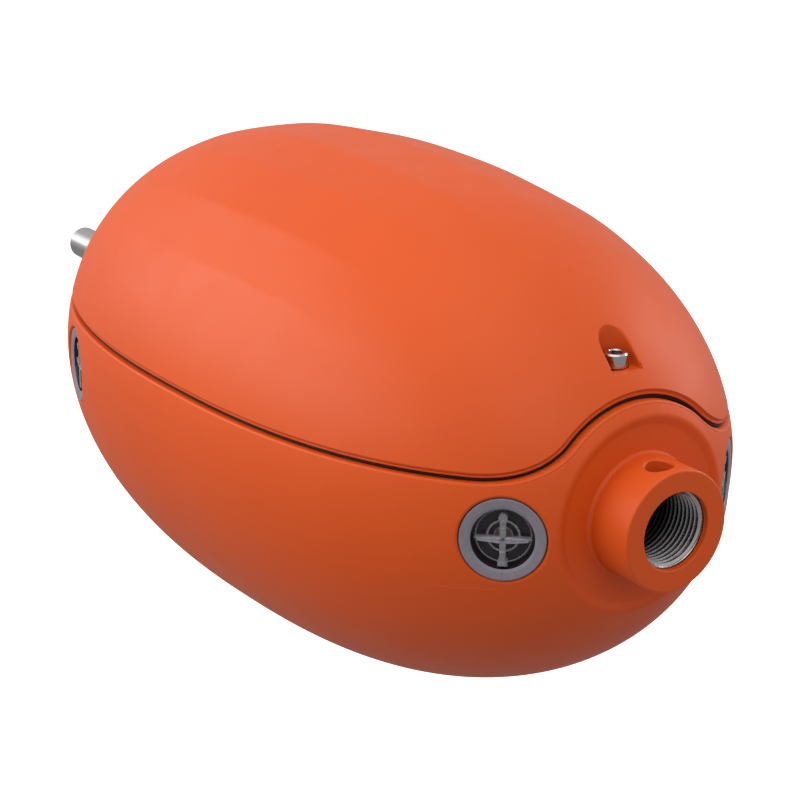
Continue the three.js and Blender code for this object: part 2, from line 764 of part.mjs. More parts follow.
function batteryHolder() {
  const { wall, height } = HOLDER;
  const outer = box(
    [-holderHalfLength, holderHalfLength],
    [-holderHalfWidth, holderHalfWidth],
    [holderBottom, holderBottom + height],
  );
  const inner = box(
    [wall - holderHalfLength, holderHalfLength - wall],
    [wall - holderHalfWidth, holderHalfWidth - wall],
    [holderBottom + wall, FAR],
  );
  return cut(outer, inner);
}

function batteryCell(toward, side) {
  const { radius, length } = CELL;
  const near = 0.7;
  const end = near + length;
  const shoulder = end - CELL_CAP.height;
  const cell = turned([
    [0, near], [radius - CELL_CAP.edge, near], [radius, near + CELL_CAP.edge],
    [radius, shoulder - CELL_CAP.edge], [radius - CELL_CAP.edge, shoulder],
    [CELL_CAP.radius, shoulder], [CELL_CAP.radius, end], [0, end],
  ], 16);
  const lying = placed(cell, ALONG_X);
  const turn = new THREE.Matrix4().makeRotationZ(toward > 0 ? 0 : Math.PI);
  return moved(placed(lying, turn), 0, side * cellY, cellZ);
}

function batteryStrap() {
  const base = cellZ + CELL.radius + GAP;
  const half = STRAP.width / 2;
  return box([-half, half], [-holderHalfWidth, holderHalfWidth], [base, base + STRAP.thickness]);
}

// ---------------------------------------------------------------- leads

// A lead is a round tube through its points; its points stay as they were chosen.
function lead(points, radius = LEAD_RADIUS) {
  const path = new THREE.CatmullRomCurve3(points.map(([x, y, z]) => new THREE.Vector3(x, y, z)));
  const section = new THREE.Shape();
  section.absarc(0, 0, radius, 0, Math.PI * 2, false);
  const steps = Math.round(path.getLength() / (6 * radius));
  return toSolid(new THREE.ExtrudeGeometry(section, {
    steps,
    extrudePath: path,
    bevelEnabled: false,
    curveSegments: 4,
  }));
}

// From the middle of a lamp's retainer to the nearest end of the main board.
function lampLead(place) {
  const out = lampMatrix(place);
  const start = new THREE.Vector3(0, 0, lampBoardBottom - GAP).applyMatrix4(out);
  const clear = new THREE.Vector3(0, 0, retainerBottom - 6).applyMatrix4(out);
  const toNose = place.x > 0;
  const y = place.side * (BOARD.halfWidth - 8);
  const edge = toNose ? BOARD.front : BOARD.rear;
  const inward = toNose ? -1 : 1;
  const rest = boardTop + LEAD_RADIUS + GAP;
  return lead([
    start.toArray(),
    clear.toArray(),
    [(clear.x + edge) / 2, (clear.y + y) / 2, rest + 9],
    [edge - 8 * inward, y, rest + 3],
    [edge + 6 * inward, y, rest],
  ]);
}

function antennaLead() {
  const start = connectorFlangeFront - CONNECTOR.flangeThickness - 6 - GAP;
  const rest = boardTop + 1.8 + GAP;
  return lead([
    [start, 0, 0],
    [start - 14, 0, -1],
    [BOARD.front + 26, -2, rest / 2],
    [BOARD.front + 6, -4, rest + 2],
    [BOARD.front - 8, -4, rest],
  ], 1.8);
}

function batteryLead() {
  const { holeX, y } = BATTERY_LEAD;
  const rest = boardTop + LEAD_RADIUS + GAP;
  return lead([
    [holderHalfLength + GAP, y, holderBottom + HOLDER.height - 6],
    [holeX - 2, y, holderBottom + HOLDER.height - 4],
    [holeX, y, PLATE.bottom],
    [holeX, y, plateTop + 2],
    [holeX - 7, y, rest + 5],
    [BOARD.front - 6, y, rest],
  ]);
}

// ---------------------------------------------------------------- the scene graph

function finish(color, roughness, metalness) {
  return new THREE.MeshStandardMaterial({ color, roughness, metalness });
}

const beacon = new THREE.Group();
beacon.position.x = -BOSS_X;

function add(name, solid, material) {
  const mesh = new THREE.Mesh(toGeometry(solid), material);
  mesh.name = name;
  beacon.add(mesh);
}

const orangePaint = () => finish(0xdc5a28, 0.5, 0);
const blackRubber = () => finish(0x141416, 0.7, 0);
const stainless = () => finish(0xb9b4b6, 0.3, 1);
const brass = () => finish(0xb9975a, 0.35, 1);
const greenBoard = () => finish(0x1f5b3a, 0.5, 0);
const blackPlastic = () => finish(0x202226, 0.6, 0);

add('lower_case', lowerCase(), orangePaint());
add('top_cover', topCover(), orangePaint());
add('seal_gasket', sealGasket(), blackRubber());
add('thread_bush', threadBush(), stainless());
add('antenna_connector', antennaConnector(), brass());

for (const [end, place] of Object.entries(screwPlaces)) {
  add(`cover_screw_${end}`, coverScrew(place), stainless());
  add(`screw_seal_${end}`, screwSeal(place), blackRubber());
  add(`screw_insert_${end}`, screwInsert(end), brass());
}

for (const place of lampPlaces) {
  const out = lampMatrix(place);
  add(`lamp_window_${place.name}`, placed(lampWindow(), out), finish(0xc9c4cc, 0.35, 0));
  add(`lamp_seal_${place.name}`, placed(lampSeal(), out), blackRubber());
  add(`lamp_led_${place.name}`, placed(lampLed(), out), finish(0xe8d98a, 0.4, 0));
  add(`lamp_board_${place.name}`, placed(lampBoard(), out), blackPlastic());
  add(`lamp_retainer_${place.name}`, placed(lampRetainer(), out), stainless());
  add(`lamp_lead_${place.name}`, lampLead(place), blackRubber());
}

add('tail_rod', tailRod(), stainless());
add('rod_gland_nut', glandNut(), stainless());
add('rod_seal', rodSeal(), blackRubber());
add('rod_stop_ring', stopRing(), stainless());
add('rod_switch', rodSwitch(), blackPlastic());
add('switch_plunger', switchPlunger(), brass());

add('chassis_plate', chassisPlate(), finish(0xa9adb0, 0.4, 1));
atCorners(plateScrew(), [-POST_X, POST_X], POST_Y).forEach((solid, index) => {
  add(`chassis_screw_${index + 1}`, solid, stainless());
});
add('main_board', mainBoard(), greenBoard());
add('rf_shield', rfShield(), finish(0xc4c6c8, 0.3, 1));
add('antenna_bracket', antennaBracket(), finish(0xa9adb0, 0.4, 1));
add('gnss_antenna', gnssAntenna(), finish(0xcbb894, 0.6, 0));
add('battery_holder', batteryHolder(), blackPlastic());
for (const end of [-1, 1]) {
  for (const side of [-1, 1]) {
    const name = `battery_cell_${end < 0 ? 'rear' : 'front'}_${side < 0 ? 'right' : 'left'}`;
    add(name, batteryCell(end, side), finish(0x2c5a8c, 0.45, 0));
  }
}
add('battery_strap', batteryStrap(), blackRubber());
add('antenna_lead', antennaLead(), blackRubber());
add('battery_lead', batteryLead(), blackRubber());

export default beacon;
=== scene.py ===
# %% [markdown]
# # An egg-shaped position beacon
# The beacon is a sealed orange housing in two shells. Four round lamp windows look out of
# the lower shell, a threaded boss stands on the nose and a steel push rod comes out of the
# tail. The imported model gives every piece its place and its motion. This lesson gives each
# visible piece its fine shape and its finish, around that fixed frame.

import math
import random

import bpy
from mathutils import Matrix, Vector


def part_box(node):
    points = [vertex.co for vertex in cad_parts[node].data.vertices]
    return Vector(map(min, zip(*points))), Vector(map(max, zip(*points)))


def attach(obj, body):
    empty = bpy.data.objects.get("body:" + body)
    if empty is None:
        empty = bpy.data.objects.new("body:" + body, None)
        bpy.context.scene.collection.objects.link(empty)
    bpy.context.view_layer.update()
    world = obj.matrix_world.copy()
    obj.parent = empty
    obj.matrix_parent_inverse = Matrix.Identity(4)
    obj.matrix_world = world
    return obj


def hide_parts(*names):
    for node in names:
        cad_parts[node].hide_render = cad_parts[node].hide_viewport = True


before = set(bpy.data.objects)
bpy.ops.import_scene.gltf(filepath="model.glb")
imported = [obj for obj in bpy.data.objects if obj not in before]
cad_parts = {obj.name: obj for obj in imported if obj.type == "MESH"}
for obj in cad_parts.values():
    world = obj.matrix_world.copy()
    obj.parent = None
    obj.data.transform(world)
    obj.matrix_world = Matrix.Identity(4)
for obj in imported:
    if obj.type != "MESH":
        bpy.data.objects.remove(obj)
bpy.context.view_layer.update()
MM = 0.001

# %% [markdown]
# ## Where everything lies
# The egg is a body of revolution about the X axis. Its two halves are superellipses that
# meet at the widest station. The lower shell's box tells where the front of the boss is,
# so the egg's own stations follow from that. All the shaping below is written in
# millimetres from the widest station, and `at` turns it into the frame's metres.

# %% The egg's own sizes
EGG_RADIUS = 94.9
NOSE_HALF = (170.76, 2.64, 1.98)
TAIL_HALF = (-153.11, 2.17, 2.72)
RECESS_RADIUS = 34.75
BOSS_RADIUS = 21.5
MOUTH_RADIUS = 13.75
RECESS_RIM = NOSE_HALF[0] * (1 - (RECESS_RADIUS / EGG_RADIUS) ** NOSE_HALF[2]) ** (1 / NOSE_HALF[1])
RECESS_FACE = RECESS_RIM - 1.0
LIP = 1.0  # radius of the soft painted edges
HAIR = 0.01  # how far the beads of those edges lie under the outside
SKIN = 3.0  # depth of the finely shaped outside
BOSS_FACE = RECESS_RIM + 18.3
TAIL_FACE = TAIL_HALF[0] + 0.5
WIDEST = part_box("lower_case")[1].x / MM - BOSS_FACE


def at(x, y, z):
    """A place given in millimetres from the widest station, in the frame's metres."""
    return Vector(((x + WIDEST) * MM, y * MM, z * MM))


def half_at(x):
    return NOSE_HALF if x >= 0 else TAIL_HALF


def egg_radius(x):
    end, p, q = half_at(x)
    return EGG_RADIUS * max(0.0, 1 - min(x / end, 1) ** p) ** (1 / q)


def egg_normal(x):
    """The outward normal at a station: its parts along the axis and away from it."""
    end, p, q = half_at(x)
    along = p / end * (x / end) ** (p - 1)
    away = q / EGG_RADIUS * (egg_radius(x) / EGG_RADIUS) ** (q - 1)
    size = math.hypot(along, away)
    return along / size, away / size


def inset_point(x, inset):
    """The point (along, away) that lies straight under a station, `inset` below it."""
    along, away = egg_normal(x)
    return x - inset * along, egg_radius(x) - inset * away


def egg_line(inset, tail_radius, nose_radius, steps):
    """Points (along, away) on the inset egg from the tail round to the nose."""
    line = []
    for turn in range(-steps, steps + 1):
        end, p, _ = NOSE_HALF if turn >= 0 else TAIL_HALF
        share = math.sin(math.pi / 2 * abs(turn) / steps)
        point = inset_point(end * share ** (2 / p), inset)
        if point[1] > (tail_radius if turn < 0 else nose_radius):
            line.append(point)
    return line


def inset_radius(x, inset):
    """The inset egg's radius at a station."""
    low, high = (0.0, NOSE_HALF[0]) if x >= 0 else (TAIL_HALF[0], 0.0)
    for _ in range(50):
        middle = (low + high) / 2
        if inset_point(middle, inset)[0] < x:
            low = middle
        else:
            high = middle
    return inset_point((low + high) / 2, inset)[1]


def inset_station(radius, inset, half):
    """The station of the inset egg, in one half, where it has this radius."""
    low, high = 0.0, half[0] * 0.99999
    for _ in range(50):
        middle = (low + high) / 2
        if inset_point(middle, inset)[1] > radius:
            low = middle
        else:
            high = middle
    return inset_point((low + high) / 2, inset)[0]


print(f"widest station {WIDEST:.2f} mm behind the boss face")

# %% [markdown]
# ## The camera
# The beacon is seen from its nose, to its right and a little above. The camera looks along
# a line given by two angles through a point near the middle of the egg, and it is rolled by
# less than half a degree.

# %% Set the camera
AZIMUTH, ELEVATION, ROLL = 34.84, 19.58, 0.44
DISTANCE = 0.96637
AIM = Vector((-0.17183, 0.00766, -0.00611))

turn, lift, roll = (math.radians(angle) for angle in (AZIMUTH, ELEVATION, ROLL))
back = Vector((math.cos(turn) * math.cos(lift), -math.sin(turn) * math.cos(lift), math.sin(lift)))
level = Vector((0, 0, 1)).cross(back).normalized()
upright = back.cross(level)
right = level * math.cos(roll) + upright * math.sin(roll)
up = upright * math.cos(roll) - level * math.sin(roll)
bpy.ops.object.camera_add()
camera = bpy.context.object
frame_of_view = Matrix((right, up, back)).transposed().to_4x4()
camera.matrix_world = Matrix.Translation(AIM + back * DISTANCE) @ frame_of_view
camera.data.lens = 112.5
camera.data.sensor_width = 36
bpy.context.scene.camera = camera
print("camera at", [round(value, 4) for value in camera.location])

# %% [markdown]
# ## Tools for shaping
# Each piece starts as a drawn outline or a primitive. An outline is drawn as by hand: one
# vertex is extruded from point to point, and the line is spun about the long axis. Corners
# of an outline are rounded where they are drawn, which keeps every edge clean.

# %% Helpers for one piece at a time


def take(piece):
    """Makes a piece the only selected and active object."""
    bpy.ops.object.select_all(action="DESELECT")
    piece.select_set(True)
    bpy.context.view_layer.objects.active = piece
    return piece


def edit(piece):
    take(piece)
    bpy.ops.object.mode_set(mode="EDIT")
    bpy.ops.mesh.select_all(action="SELECT")


def done():
    bpy.ops.object.mode_set(mode="OBJECT")


def rounded(corners, closed=True, steps=4):
    """Replaces each corner (along, away, radius) of an outline by a small arc."""
    line = []
    count = len(corners)
    for index, corner in enumerate(corners):
        here = Vector(corner[:2])
        radius = corner[2] if len(corner) > 2 else 0
        inner = closed or 0 < index < count - 1
        if not radius or not inner:
            line.append(here)
            continue
        before = (Vector(corners[index - 1][:2]) - here).normalized()
        after = (Vector(corners[(index + 1) % count][:2]) - here).normalized()
        half = before.angle(after) / 2
        centre = here + (before + after).normalized() * radius / math.sin(half)
        start = here + before * radius / math.tan(half) - centre
        sweep = start.angle_signed(here + after * radius / math.tan(half) - centre)
        for step in range(steps + 1):
            line.append(centre + Matrix.Rotation(-sweep * step / steps, 2) @ start)
    return line


def draw(name, points):
    """Draws a line of vertices through points in metres, as a new piece."""
    bpy.ops.object.select_all(action="DESELECT")
    bpy.ops.mesh.primitive_plane_add(size=MM)
    piece = bpy.context.object
    piece.name = piece.data.name = name
    bpy.ops.object.mode_set(mode="EDIT")
    bpy.ops.mesh.merge(type="CENTER")
    bpy.ops.transform.translate(value=points[0])
    for here, following in zip(points, points[1:]):
        bpy.ops.mesh.extrude_vertices_move(TRANSFORM_OT_translate={"value": following - here})
    bpy.ops.mesh.select_all(action="SELECT")
    return piece


def spun(name, outline, sides=96, closed=True):
    """Spins an outline of (along, away) points, in millimetres, about the long axis."""
    points = [at(along, away, 0) for along, away in outline]
    piece = draw(name, points + points[:1] if closed else points)
    bpy.ops.mesh.spin(steps=sides, angle=2 * math.pi, center=(0, 0, 0), axis=(1, 0, 0))
    bpy.ops.mesh.select_all(action="SELECT")
    bpy.ops.mesh.remove_doubles(threshold=1e-6)
    bpy.ops.mesh.normals_make_consistent(inside=False)
    done()
    return piece


def combine(piece, other, operation):
    """Applies one Boolean to a piece and removes the tool that was used."""
    modifier = piece.modifiers.new(operation.lower(), "BOOLEAN")
    modifier.operation = operation
    modifier.solver = "MANIFOLD"
    modifier.object = other
    take(piece)
    bpy.ops.object.modifier_apply(modifier=modifier.name)
    bpy.data.objects.remove(other)
    return piece


def copy_of(piece, name):
    twin = piece.copy()
    twin.data = piece.data.copy()
    twin.name = twin.data.name = name
    bpy.context.collection.objects.link(twin)
    return twin


def open_edges(piece):
    """How many edges don't join exactly two faces."""
    uses = {}
    for face in piece.data.polygons:
        for key in face.edge_keys:
            uses[key] = uses.get(key, 0) + 1
    return sum(1 for count in uses.values() if count != 2)


# %% [markdown]
# ## The seam
# The joint between the shells is level and then arches over the nose collar, running into
# the level part through a round fillet. Seen from the front it is one line. `under_seam`
# extrudes that line into a solid that holds all that lies below the joint, at any offset,
# and `seam_loop` follows the same line round the egg, just under its surface.

# %% The seam as a tool
SEAM = 17.67
HALF_GAP = 0.75
COLLAR = 40.0
FILLET = 42.0
ARCH_BACK = RECESS_RIM - 27.4
FILLET_Y = math.sqrt((COLLAR + FILLET) ** 2 - (SEAM + FILLET) ** 2)
FILLET_Z = SEAM + FILLET
MEET = math.atan2(FILLET_Z, FILLET_Y)


def seam_arch(offset, steps):
    """Half of the arch, as points (y, z) from the top of the collar down to the level part."""
    points = []
    for step in range(steps):
        angle = math.pi / 2 + (MEET - math.pi / 2) * step / steps
        points.append(((COLLAR + offset) * math.cos(angle), (COLLAR + offset) * math.sin(angle)))
    for step in range(steps + 1):
        angle = math.pi + MEET + (math.pi / 2 - MEET) * step / steps
        radius = FILLET - offset
        points.append((FILLET_Y + radius * math.cos(angle), FILLET_Z + radius * math.sin(angle)))
    return points


def under_seam(offset):
    arch = seam_arch(offset, 40)
    floor = SEAM + offset - 8
    line = [(-FILLET_Y, floor)] + [(-y, z) for y, z in reversed(arch)][:-1] + arch + [(FILLET_Y, floor)]
    piece = draw("arch", [at(ARCH_BACK, y, z) for y, z in line])
    bpy.ops.mesh.edge_face_add()
    bpy.ops.mesh.extrude_region_move(TRANSFORM_OT_translate={"value": (60 * MM, 0, 0)})
    bpy.ops.mesh.select_all(action="SELECT")
    bpy.ops.mesh.normals_make_consistent(inside=False)
    done()
    top = SEAM + offset
    bpy.ops.object.select_all(action="DESELECT")
    bpy.ops.mesh.primitive_cube_add(size=1, location=at(0, 0, top - 75), scale=(0.6, 0.4, 0.15))
    slab = bpy.context.object
    bpy.ops.object.transform_apply()
    return combine(slab, piece, "UNION")


def seam_loop(offset, inset, spacing=2.0):
    """Places round the joint, at an offset above it and an inset below the outside."""
    side = []
    for y, z in seam_arch(offset, 60):
        side.append(Vector((inset_station(math.hypot(y, z), inset, NOSE_HALF), y, z)))
    level_z = SEAM + offset
    widest = math.sqrt(inset_radius(0.0, inset) ** 2 - level_z**2)
    for half, first, last in ((NOSE_HALF, side[-1].y, widest), (TAIL_HALF, widest, 0.0)):
        for step in range(1, 161):
            angle = math.pi / 2 * step / 160
            share = math.sin(angle) if half is NOSE_HALF else 1 - math.cos(angle)
            y = first + (last - first) * share
            x = inset_station(math.hypot(y, level_z), inset, half)
            side.append(Vector((x, y, level_z)))
    whole = side + [Vector((p.x, -p.y, p.z)) for p in reversed(side)][1:-1]
    return even_spacing(whole, spacing)


def even_spacing(points, spacing):
    """The same closed line with its points about `spacing` apart."""
    closed = points + points[:1]
    total = sum((b - a).length for a, b in zip(closed, closed[1:]))
    step = total / round(total / spacing)
    result = []
    walked, wanted = 0.0, 0.0
    for a, b in zip(closed, closed[1:]):
        length = (b - a).length
        while wanted < walked + length - 1e-9 and length > 0:
            result.append(a.lerp(b, (wanted - walked) / length))
            wanted += step
        walked += length
    return result


def bead(name, places, radius, closed=True, sides=4):
    """A round cord of solid material through places in millimetres."""
    line = bpy.data.curves.new(name, "CURVE")
    line.dimensions = "3D"
    spline = line.splines.new("POLY")
    spline.points.add(len(places) - 1)
    for point, place in zip(spline.points, places):
        point.co = (*at(*place), 1)
    spline.use_cyclic_u = closed
    line.bevel_depth = radius * MM
    line.bevel_resolution = sides
    line.use_fill_caps = not closed
    piece = bpy.data.objects.new(name, line)
    bpy.context.collection.objects.link(piece)
    take(piece)
    bpy.ops.object.convert(target="MESH")
    piece = bpy.context.object
    edit(piece)
    bpy.ops.mesh.remove_doubles(threshold=1e-7)
    bpy.ops.mesh.normals_make_consistent(inside=False)
    done()
    return piece


# %% [markdown]
# ## How the shells are built
# A powder-coated casting has no sharp edge: paint rounds every lip. A bevel on a dense
# mesh that was cut at a slant leaves slivers, so each soft edge is built the other way
# round. The outside is cut back by the edge's radius, a core that lies one radius deeper
# is cut exactly, and a bead of that radius is laid along the corner and joined. The inner
# walls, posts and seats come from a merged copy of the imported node, trimmed to lie inside
# the finely shaped skin.

# %% Bodies that the shells are made from


def egg_body(name, inset, sides, steps, end=None):
    """A closed inset egg, flat at the nose."""
    line = egg_line(inset, 0.5, 25, steps)
    if end is not None:
        line = [point for point in line if point[0] < end - 0.2]
        line.append((end, inset_radius(end, inset)))
    first = inset_point(TAIL_HALF[0] * 0.999999, inset)[0]
    return spun(name, [(first, 0)] + line + [(line[-1][0], 0)], sides, closed=False)


def cylinder(name, radius, start, end, matrix=None, sides=96):
    """A plain cutter from start to end, in millimetres along X or along a matrix's own Z."""
    bpy.ops.object.select_all(action="DESELECT")
    bpy.ops.mesh.primitive_cylinder_add(vertices=sides, radius=radius * MM, depth=(end - start) * MM)
    piece = bpy.context.object
    piece.name = name
    shift = Matrix.Translation((0, 0, (start + end) / 2 * MM))
    if matrix is None:
        matrix = Matrix.Translation((WIDEST * MM, 0, 0)) @ Matrix.Rotation(math.pi / 2, 4, "Y")
    piece.data.transform(matrix @ shift)
    return piece


def block(low, high):
    """A plain box between two corners in millimetres."""
    centre = at(*[(a + b) / 2 for a, b in zip(low, high)])
    size = [(b - a) * MM for a, b in zip(low, high)]
    bpy.ops.object.select_all(action="DESELECT")
    bpy.ops.mesh.primitive_cube_add(size=1, location=centre, scale=size)
    bpy.ops.object.transform_apply()
    return bpy.context.object


def inner_works(node, depth):
    """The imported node's own inner walls, trimmed to lie `depth` under the outside."""
    works = copy_of(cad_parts[node], node + "_works")
    edit(works)
    bpy.ops.mesh.remove_doubles(threshold=2e-6)
    done()
    works.parent = None
    return combine(works, egg_body("trim", depth, 128, 40), "INTERSECT")


def smooth(piece, angle=35):
    """Smooth shading up to an angle, with large faces leading at soft edges."""
    take(piece)
    bpy.ops.object.shade_smooth_by_angle(angle=math.radians(angle))
    modifier = piece.modifiers.new("weighted", "WEIGHTED_NORMAL")
    modifier.keep_sharp = True
    bpy.ops.object.modifier_apply(modifier=modifier.name)
    return piece


# %% [markdown]
# ## The lamp places
# Each lamp looks straight out of the shell, so its own Z axis is the egg's normal at its
# station, its Y axis points up, and its origin lies on the egg. Everything about a lamp is
# made once in that frame and copied to four places.

# %% Lamp frames
LAMP_Z = -2.2
LAMPS = {
    "front_left": (RECESS_RIM - 11, 1),
    "front_right": (RECESS_RIM - 11, -1),
    "rear_left": (TAIL_HALF[0] + 64.1, 1),
    "rear_right": (TAIL_HALF[0] + 64.1, -1),
}
POCKET_RADIUS = 15.0
POCKET_FLOOR = -8.4


def lamp_frame(station, side):
    along, away = egg_normal(station)
    out = Vector((along, side * away, 0))
    across = Vector((0, 0, 1)).cross(out)
    turned = Matrix((across, (0, 0, 1), out)).transposed().to_4x4()
    y = side * math.sqrt(egg_radius(station) ** 2 - LAMP_Z**2)
    return Matrix.Translation(at(station, y, LAMP_Z)) @ turned


def rim_places(matrix, radius, inset, count=72):
    """Places on the inset egg at one distance from a lamp's axis."""
    places = []
    for step in range(count):
        angle = 2 * math.pi * step / count
        low, high = -14.0, 4.0
        for _ in range(24):
            height = (low + high) / 2
            point = matrix @ (Vector((radius * math.cos(angle), radius * math.sin(angle), height)) * MM)
            x = point.x / MM - WIDEST
            if math.hypot(point.y, point.z) / MM < inset_radius(x, inset):
                low = height
            else:
                high = height
        places.append((x, point.y / MM, point.z / MM))
    return places


# %% [markdown]
# ## Places that several pieces share
# A small round hole goes into the top of the boss, leaning a little to one side. The two
# cover screws stand upright in scooped pockets. Both shells and the screws themselves are
# cut or placed by these values, so they come before the first of them.

# %% The cross hole in the top of the boss
lock_tilt = Matrix.Translation(at(BOSS_FACE - 8.5, 0, 0)) @ Matrix.Rotation(math.radians(4), 4, "X")
LOCK_RADIUS, LOCK_EDGE = 4.75, 0.6

# %% Where the cover screws stand
SCREWS = {
    "front": {"station": RECESS_RIM - 16.4, "floor": 48.0, "toward": 1, "length": 20.0},
    "rear": {"station": TAIL_HALF[0] + 25.1, "floor": 46.0, "toward": -1, "length": 35.0},
}
SCOOP, SCOOP_EDGE = 6.0, 0.55

# %% [markdown]
# ## The lower shell
# One outline gives the egg, the soft rim of the round recess, the boss and its mouth. The
# joint's lip and the rims of the lamp pockets are laid on as beads.

# %% Model the lower shell
WITNESS, WITNESS_RADIUS = 0.13, 43.5


def witness_line():
    """Where the casting's mould closed: level along each side and round under the nose."""
    side = []
    for step in range(91):
        x = 12 + 1.5 * step
        z = -24.5 + 3.8 * max(0.0, (x - 71) / 76) ** 1.5
        radius = egg_radius(x) - 0.6 * WITNESS
        if radius > WITNESS_RADIUS:
            side.append((x, -math.sqrt(radius**2 - z**2), z))
    start = math.atan2(side[-1][2], -side[-1][1])
    bend = []
    station = inset_station(WITNESS_RADIUS, 0.6 * WITNESS, NOSE_HALF)
    for step in range(1, 80):
        angle = start - (math.pi + 2 * start) * step / 80
        bend.append((station, -WITNESS_RADIUS * math.cos(angle), WITNESS_RADIUS * math.sin(angle)))
    return side + bend + [(x, -y, z) for x, y, z in reversed(side)]


outline = [(TAIL_FACE, 0), (TAIL_FACE, 15.0)] + egg_line(0, 15.3, 38.6, 88)
outline += [
    (RECESS_RIM, RECESS_RADIUS, 2.6),
    (RECESS_FACE - 0.1, RECESS_RADIUS - 3.4, 3.0),
    (RECESS_FACE - 0.3, 26),
    (RECESS_FACE, BOSS_RADIUS, 1.7),
    (BOSS_FACE, BOSS_RADIUS, 0.8),
    (BOSS_FACE, MOUTH_RADIUS, 0.5),
    (BOSS_FACE - 6, MOUTH_RADIUS),
    (BOSS_FACE - 6, 0),
]
lower = spun("lower_shell", rounded(outline, closed=False), 288, closed=False)
core_nose = [
    (RECESS_FACE - LIP, 30),
    (RECESS_FACE - LIP, 20.9),
    (BOSS_FACE - 0.6, 20.9),
    (BOSS_FACE - 0.6, 15),
    (BOSS_FACE - 6, 15),
    (BOSS_FACE - 6, 0),
]
core_outline = [(TAIL_HALF[0] + LIP, 0)] + egg_line(LIP, 0.5, 37, 88) + core_nose
core = spun("core", rounded(core_outline, closed=False), 288, closed=False)
combine(lower, under_seam(-HALF_GAP - LIP), "INTERSECT")
combine(core, under_seam(-HALF_GAP), "INTERSECT")
for name, (station, side) in LAMPS.items():
    matrix = lamp_frame(station, side)
    combine(lower, cylinder("cut", POCKET_RADIUS + LIP, -12, 12, matrix), "DIFFERENCE")
    combine(core, cylinder("cut", POCKET_RADIUS, -12, 12, matrix), "DIFFERENCE")
combine(lower, cylinder("cut", LOCK_RADIUS + LOCK_EDGE, 0, 40, lock_tilt), "DIFFERENCE")
combine(lower, core, "UNION")
combine(lower, bead("lip", seam_loop(-HALF_GAP - LIP, LIP + HAIR), LIP, sides=9), "UNION")
for name, (station, side) in LAMPS.items():
    matrix = lamp_frame(station, side)
    combine(lower, bead("rim", rim_places(matrix, POCKET_RADIUS + LIP, LIP + HAIR), LIP, sides=8), "UNION")
lock_rim = []
for step in range(48):
    angle = 2 * math.pi * step / 48
    reach = LOCK_RADIUS + LOCK_EDGE
    spread = lock_tilt @ (Vector((reach * math.cos(angle), reach * math.sin(angle), 0)) * MM)
    rise = lock_tilt.to_3x3() @ Vector((0, 0, 1))
    y, z = spread.y / MM, spread.z / MM
    along = y * rise.y + z * rise.z
    height = math.sqrt(along**2 - y * y - z * z + (BOSS_RADIUS - LOCK_EDGE) ** 2) - along
    lock_rim.append((spread.x / MM - WIDEST, y + rise.y * height, z + rise.z * height))
combine(lower, bead("rim", lock_rim, LOCK_EDGE), "UNION")
combine(lower, bead("witness", witness_line(), WITNESS, closed=False, sides=2), "UNION")
combine(lower, egg_body("hollow", SKIN, 128, 40, RECESS_FACE - 6.3), "DIFFERENCE")
combine(lower, inner_works("lower_case", 1.2), "UNION")
for name, (station, side) in LAMPS.items():
    pocket = cylinder("cut", POCKET_RADIUS, POCKET_FLOOR, 12, lamp_frame(station, side))
    combine(lower, pocket, "DIFFERENCE")
combine(lower, cylinder("cut", 16.8, ARCH_BACK, BOSS_FACE - 2.2), "DIFFERENCE")
combine(lower, cylinder("cut", LOCK_RADIUS, 0, 40, lock_tilt), "DIFFERENCE")
print("lower shell faces", len(lower.data.polygons), "open edges", open_edges(lower))


# %% [markdown]
# ## The cover
# The cover's rear top has lengthwise flats that meet in soft ridges and fade out towards the
# nose. They are pressed into the outside with a weight for every vertex and
# a Displace modifier, as weight painting would do. Under its outer lip the cover carries a
# second, lower tongue that reaches down to the seal.

# %% Model the cover
RIDGES = (-8.0, 8.0, 22.2, 36.5, 51.0)  # degrees from the top
HOLLOW = 0.95  # how deep the widest band lies under the round egg, in millimetres
TONGUE_INSET, TONGUE_DROP, TONGUE_EDGE = 1.0, 1.0, 0.35


def rib_weight(point):
    """How deep a point of the outside sinks, from 0 on a ridge to 1 in the widest band."""
    x = point.x / MM - WIDEST
    angle = abs(math.degrees(math.atan2(point.y, point.z)))
    if angle >= RIDGES[-1] or not -125 < x < 105:
        return 0.0
    rear, front = min(1.0, (x + 125) / 105), min(1.0, (105 - x) / 75)
    fade = rear * rear * (3 - 2 * rear) * front * front * (3 - 2 * front)
    low, high = next((a, b) for a, b in zip(RIDGES, RIDGES[1:]) if angle < b)
    half = (high - low) / 2
    across = (angle - low - half) / half
    return fade * (1 - across * across) * (half / 8) ** 2


cover = egg_body("cover_shell", 0, 448, 110)
ribs = cover.vertex_groups.new(name="ribs")
for vertex in cover.data.vertices:
    ribs.add([vertex.index], rib_weight(vertex.co), "REPLACE")
press = cover.modifiers.new("ribs", "DISPLACE")
press.vertex_group = "ribs"
press.mid_level = 0
press.strength = -HOLLOW * MM
take(cover)
bpy.ops.object.modifier_apply(modifier=press.name)
cover.vertex_groups.clear()


def scoop(place, half_width, floor):
    """The cutter of one screw pocket: round behind the screw and open ahead."""
    station, toward = place["station"], place["toward"]
    bpy.ops.object.select_all(action="DESELECT")
    bpy.ops.mesh.primitive_cylinder_add(vertices=64, radius=half_width * MM, depth=80 * MM)
    piece = bpy.context.object
    piece.data.transform(Matrix.Translation(at(station, 0, floor + 40)))
    low, high = sorted((station, station + toward * 70))
    return combine(piece, block((low, -half_width, floor), (high, half_width, floor + 80)), "UNION")


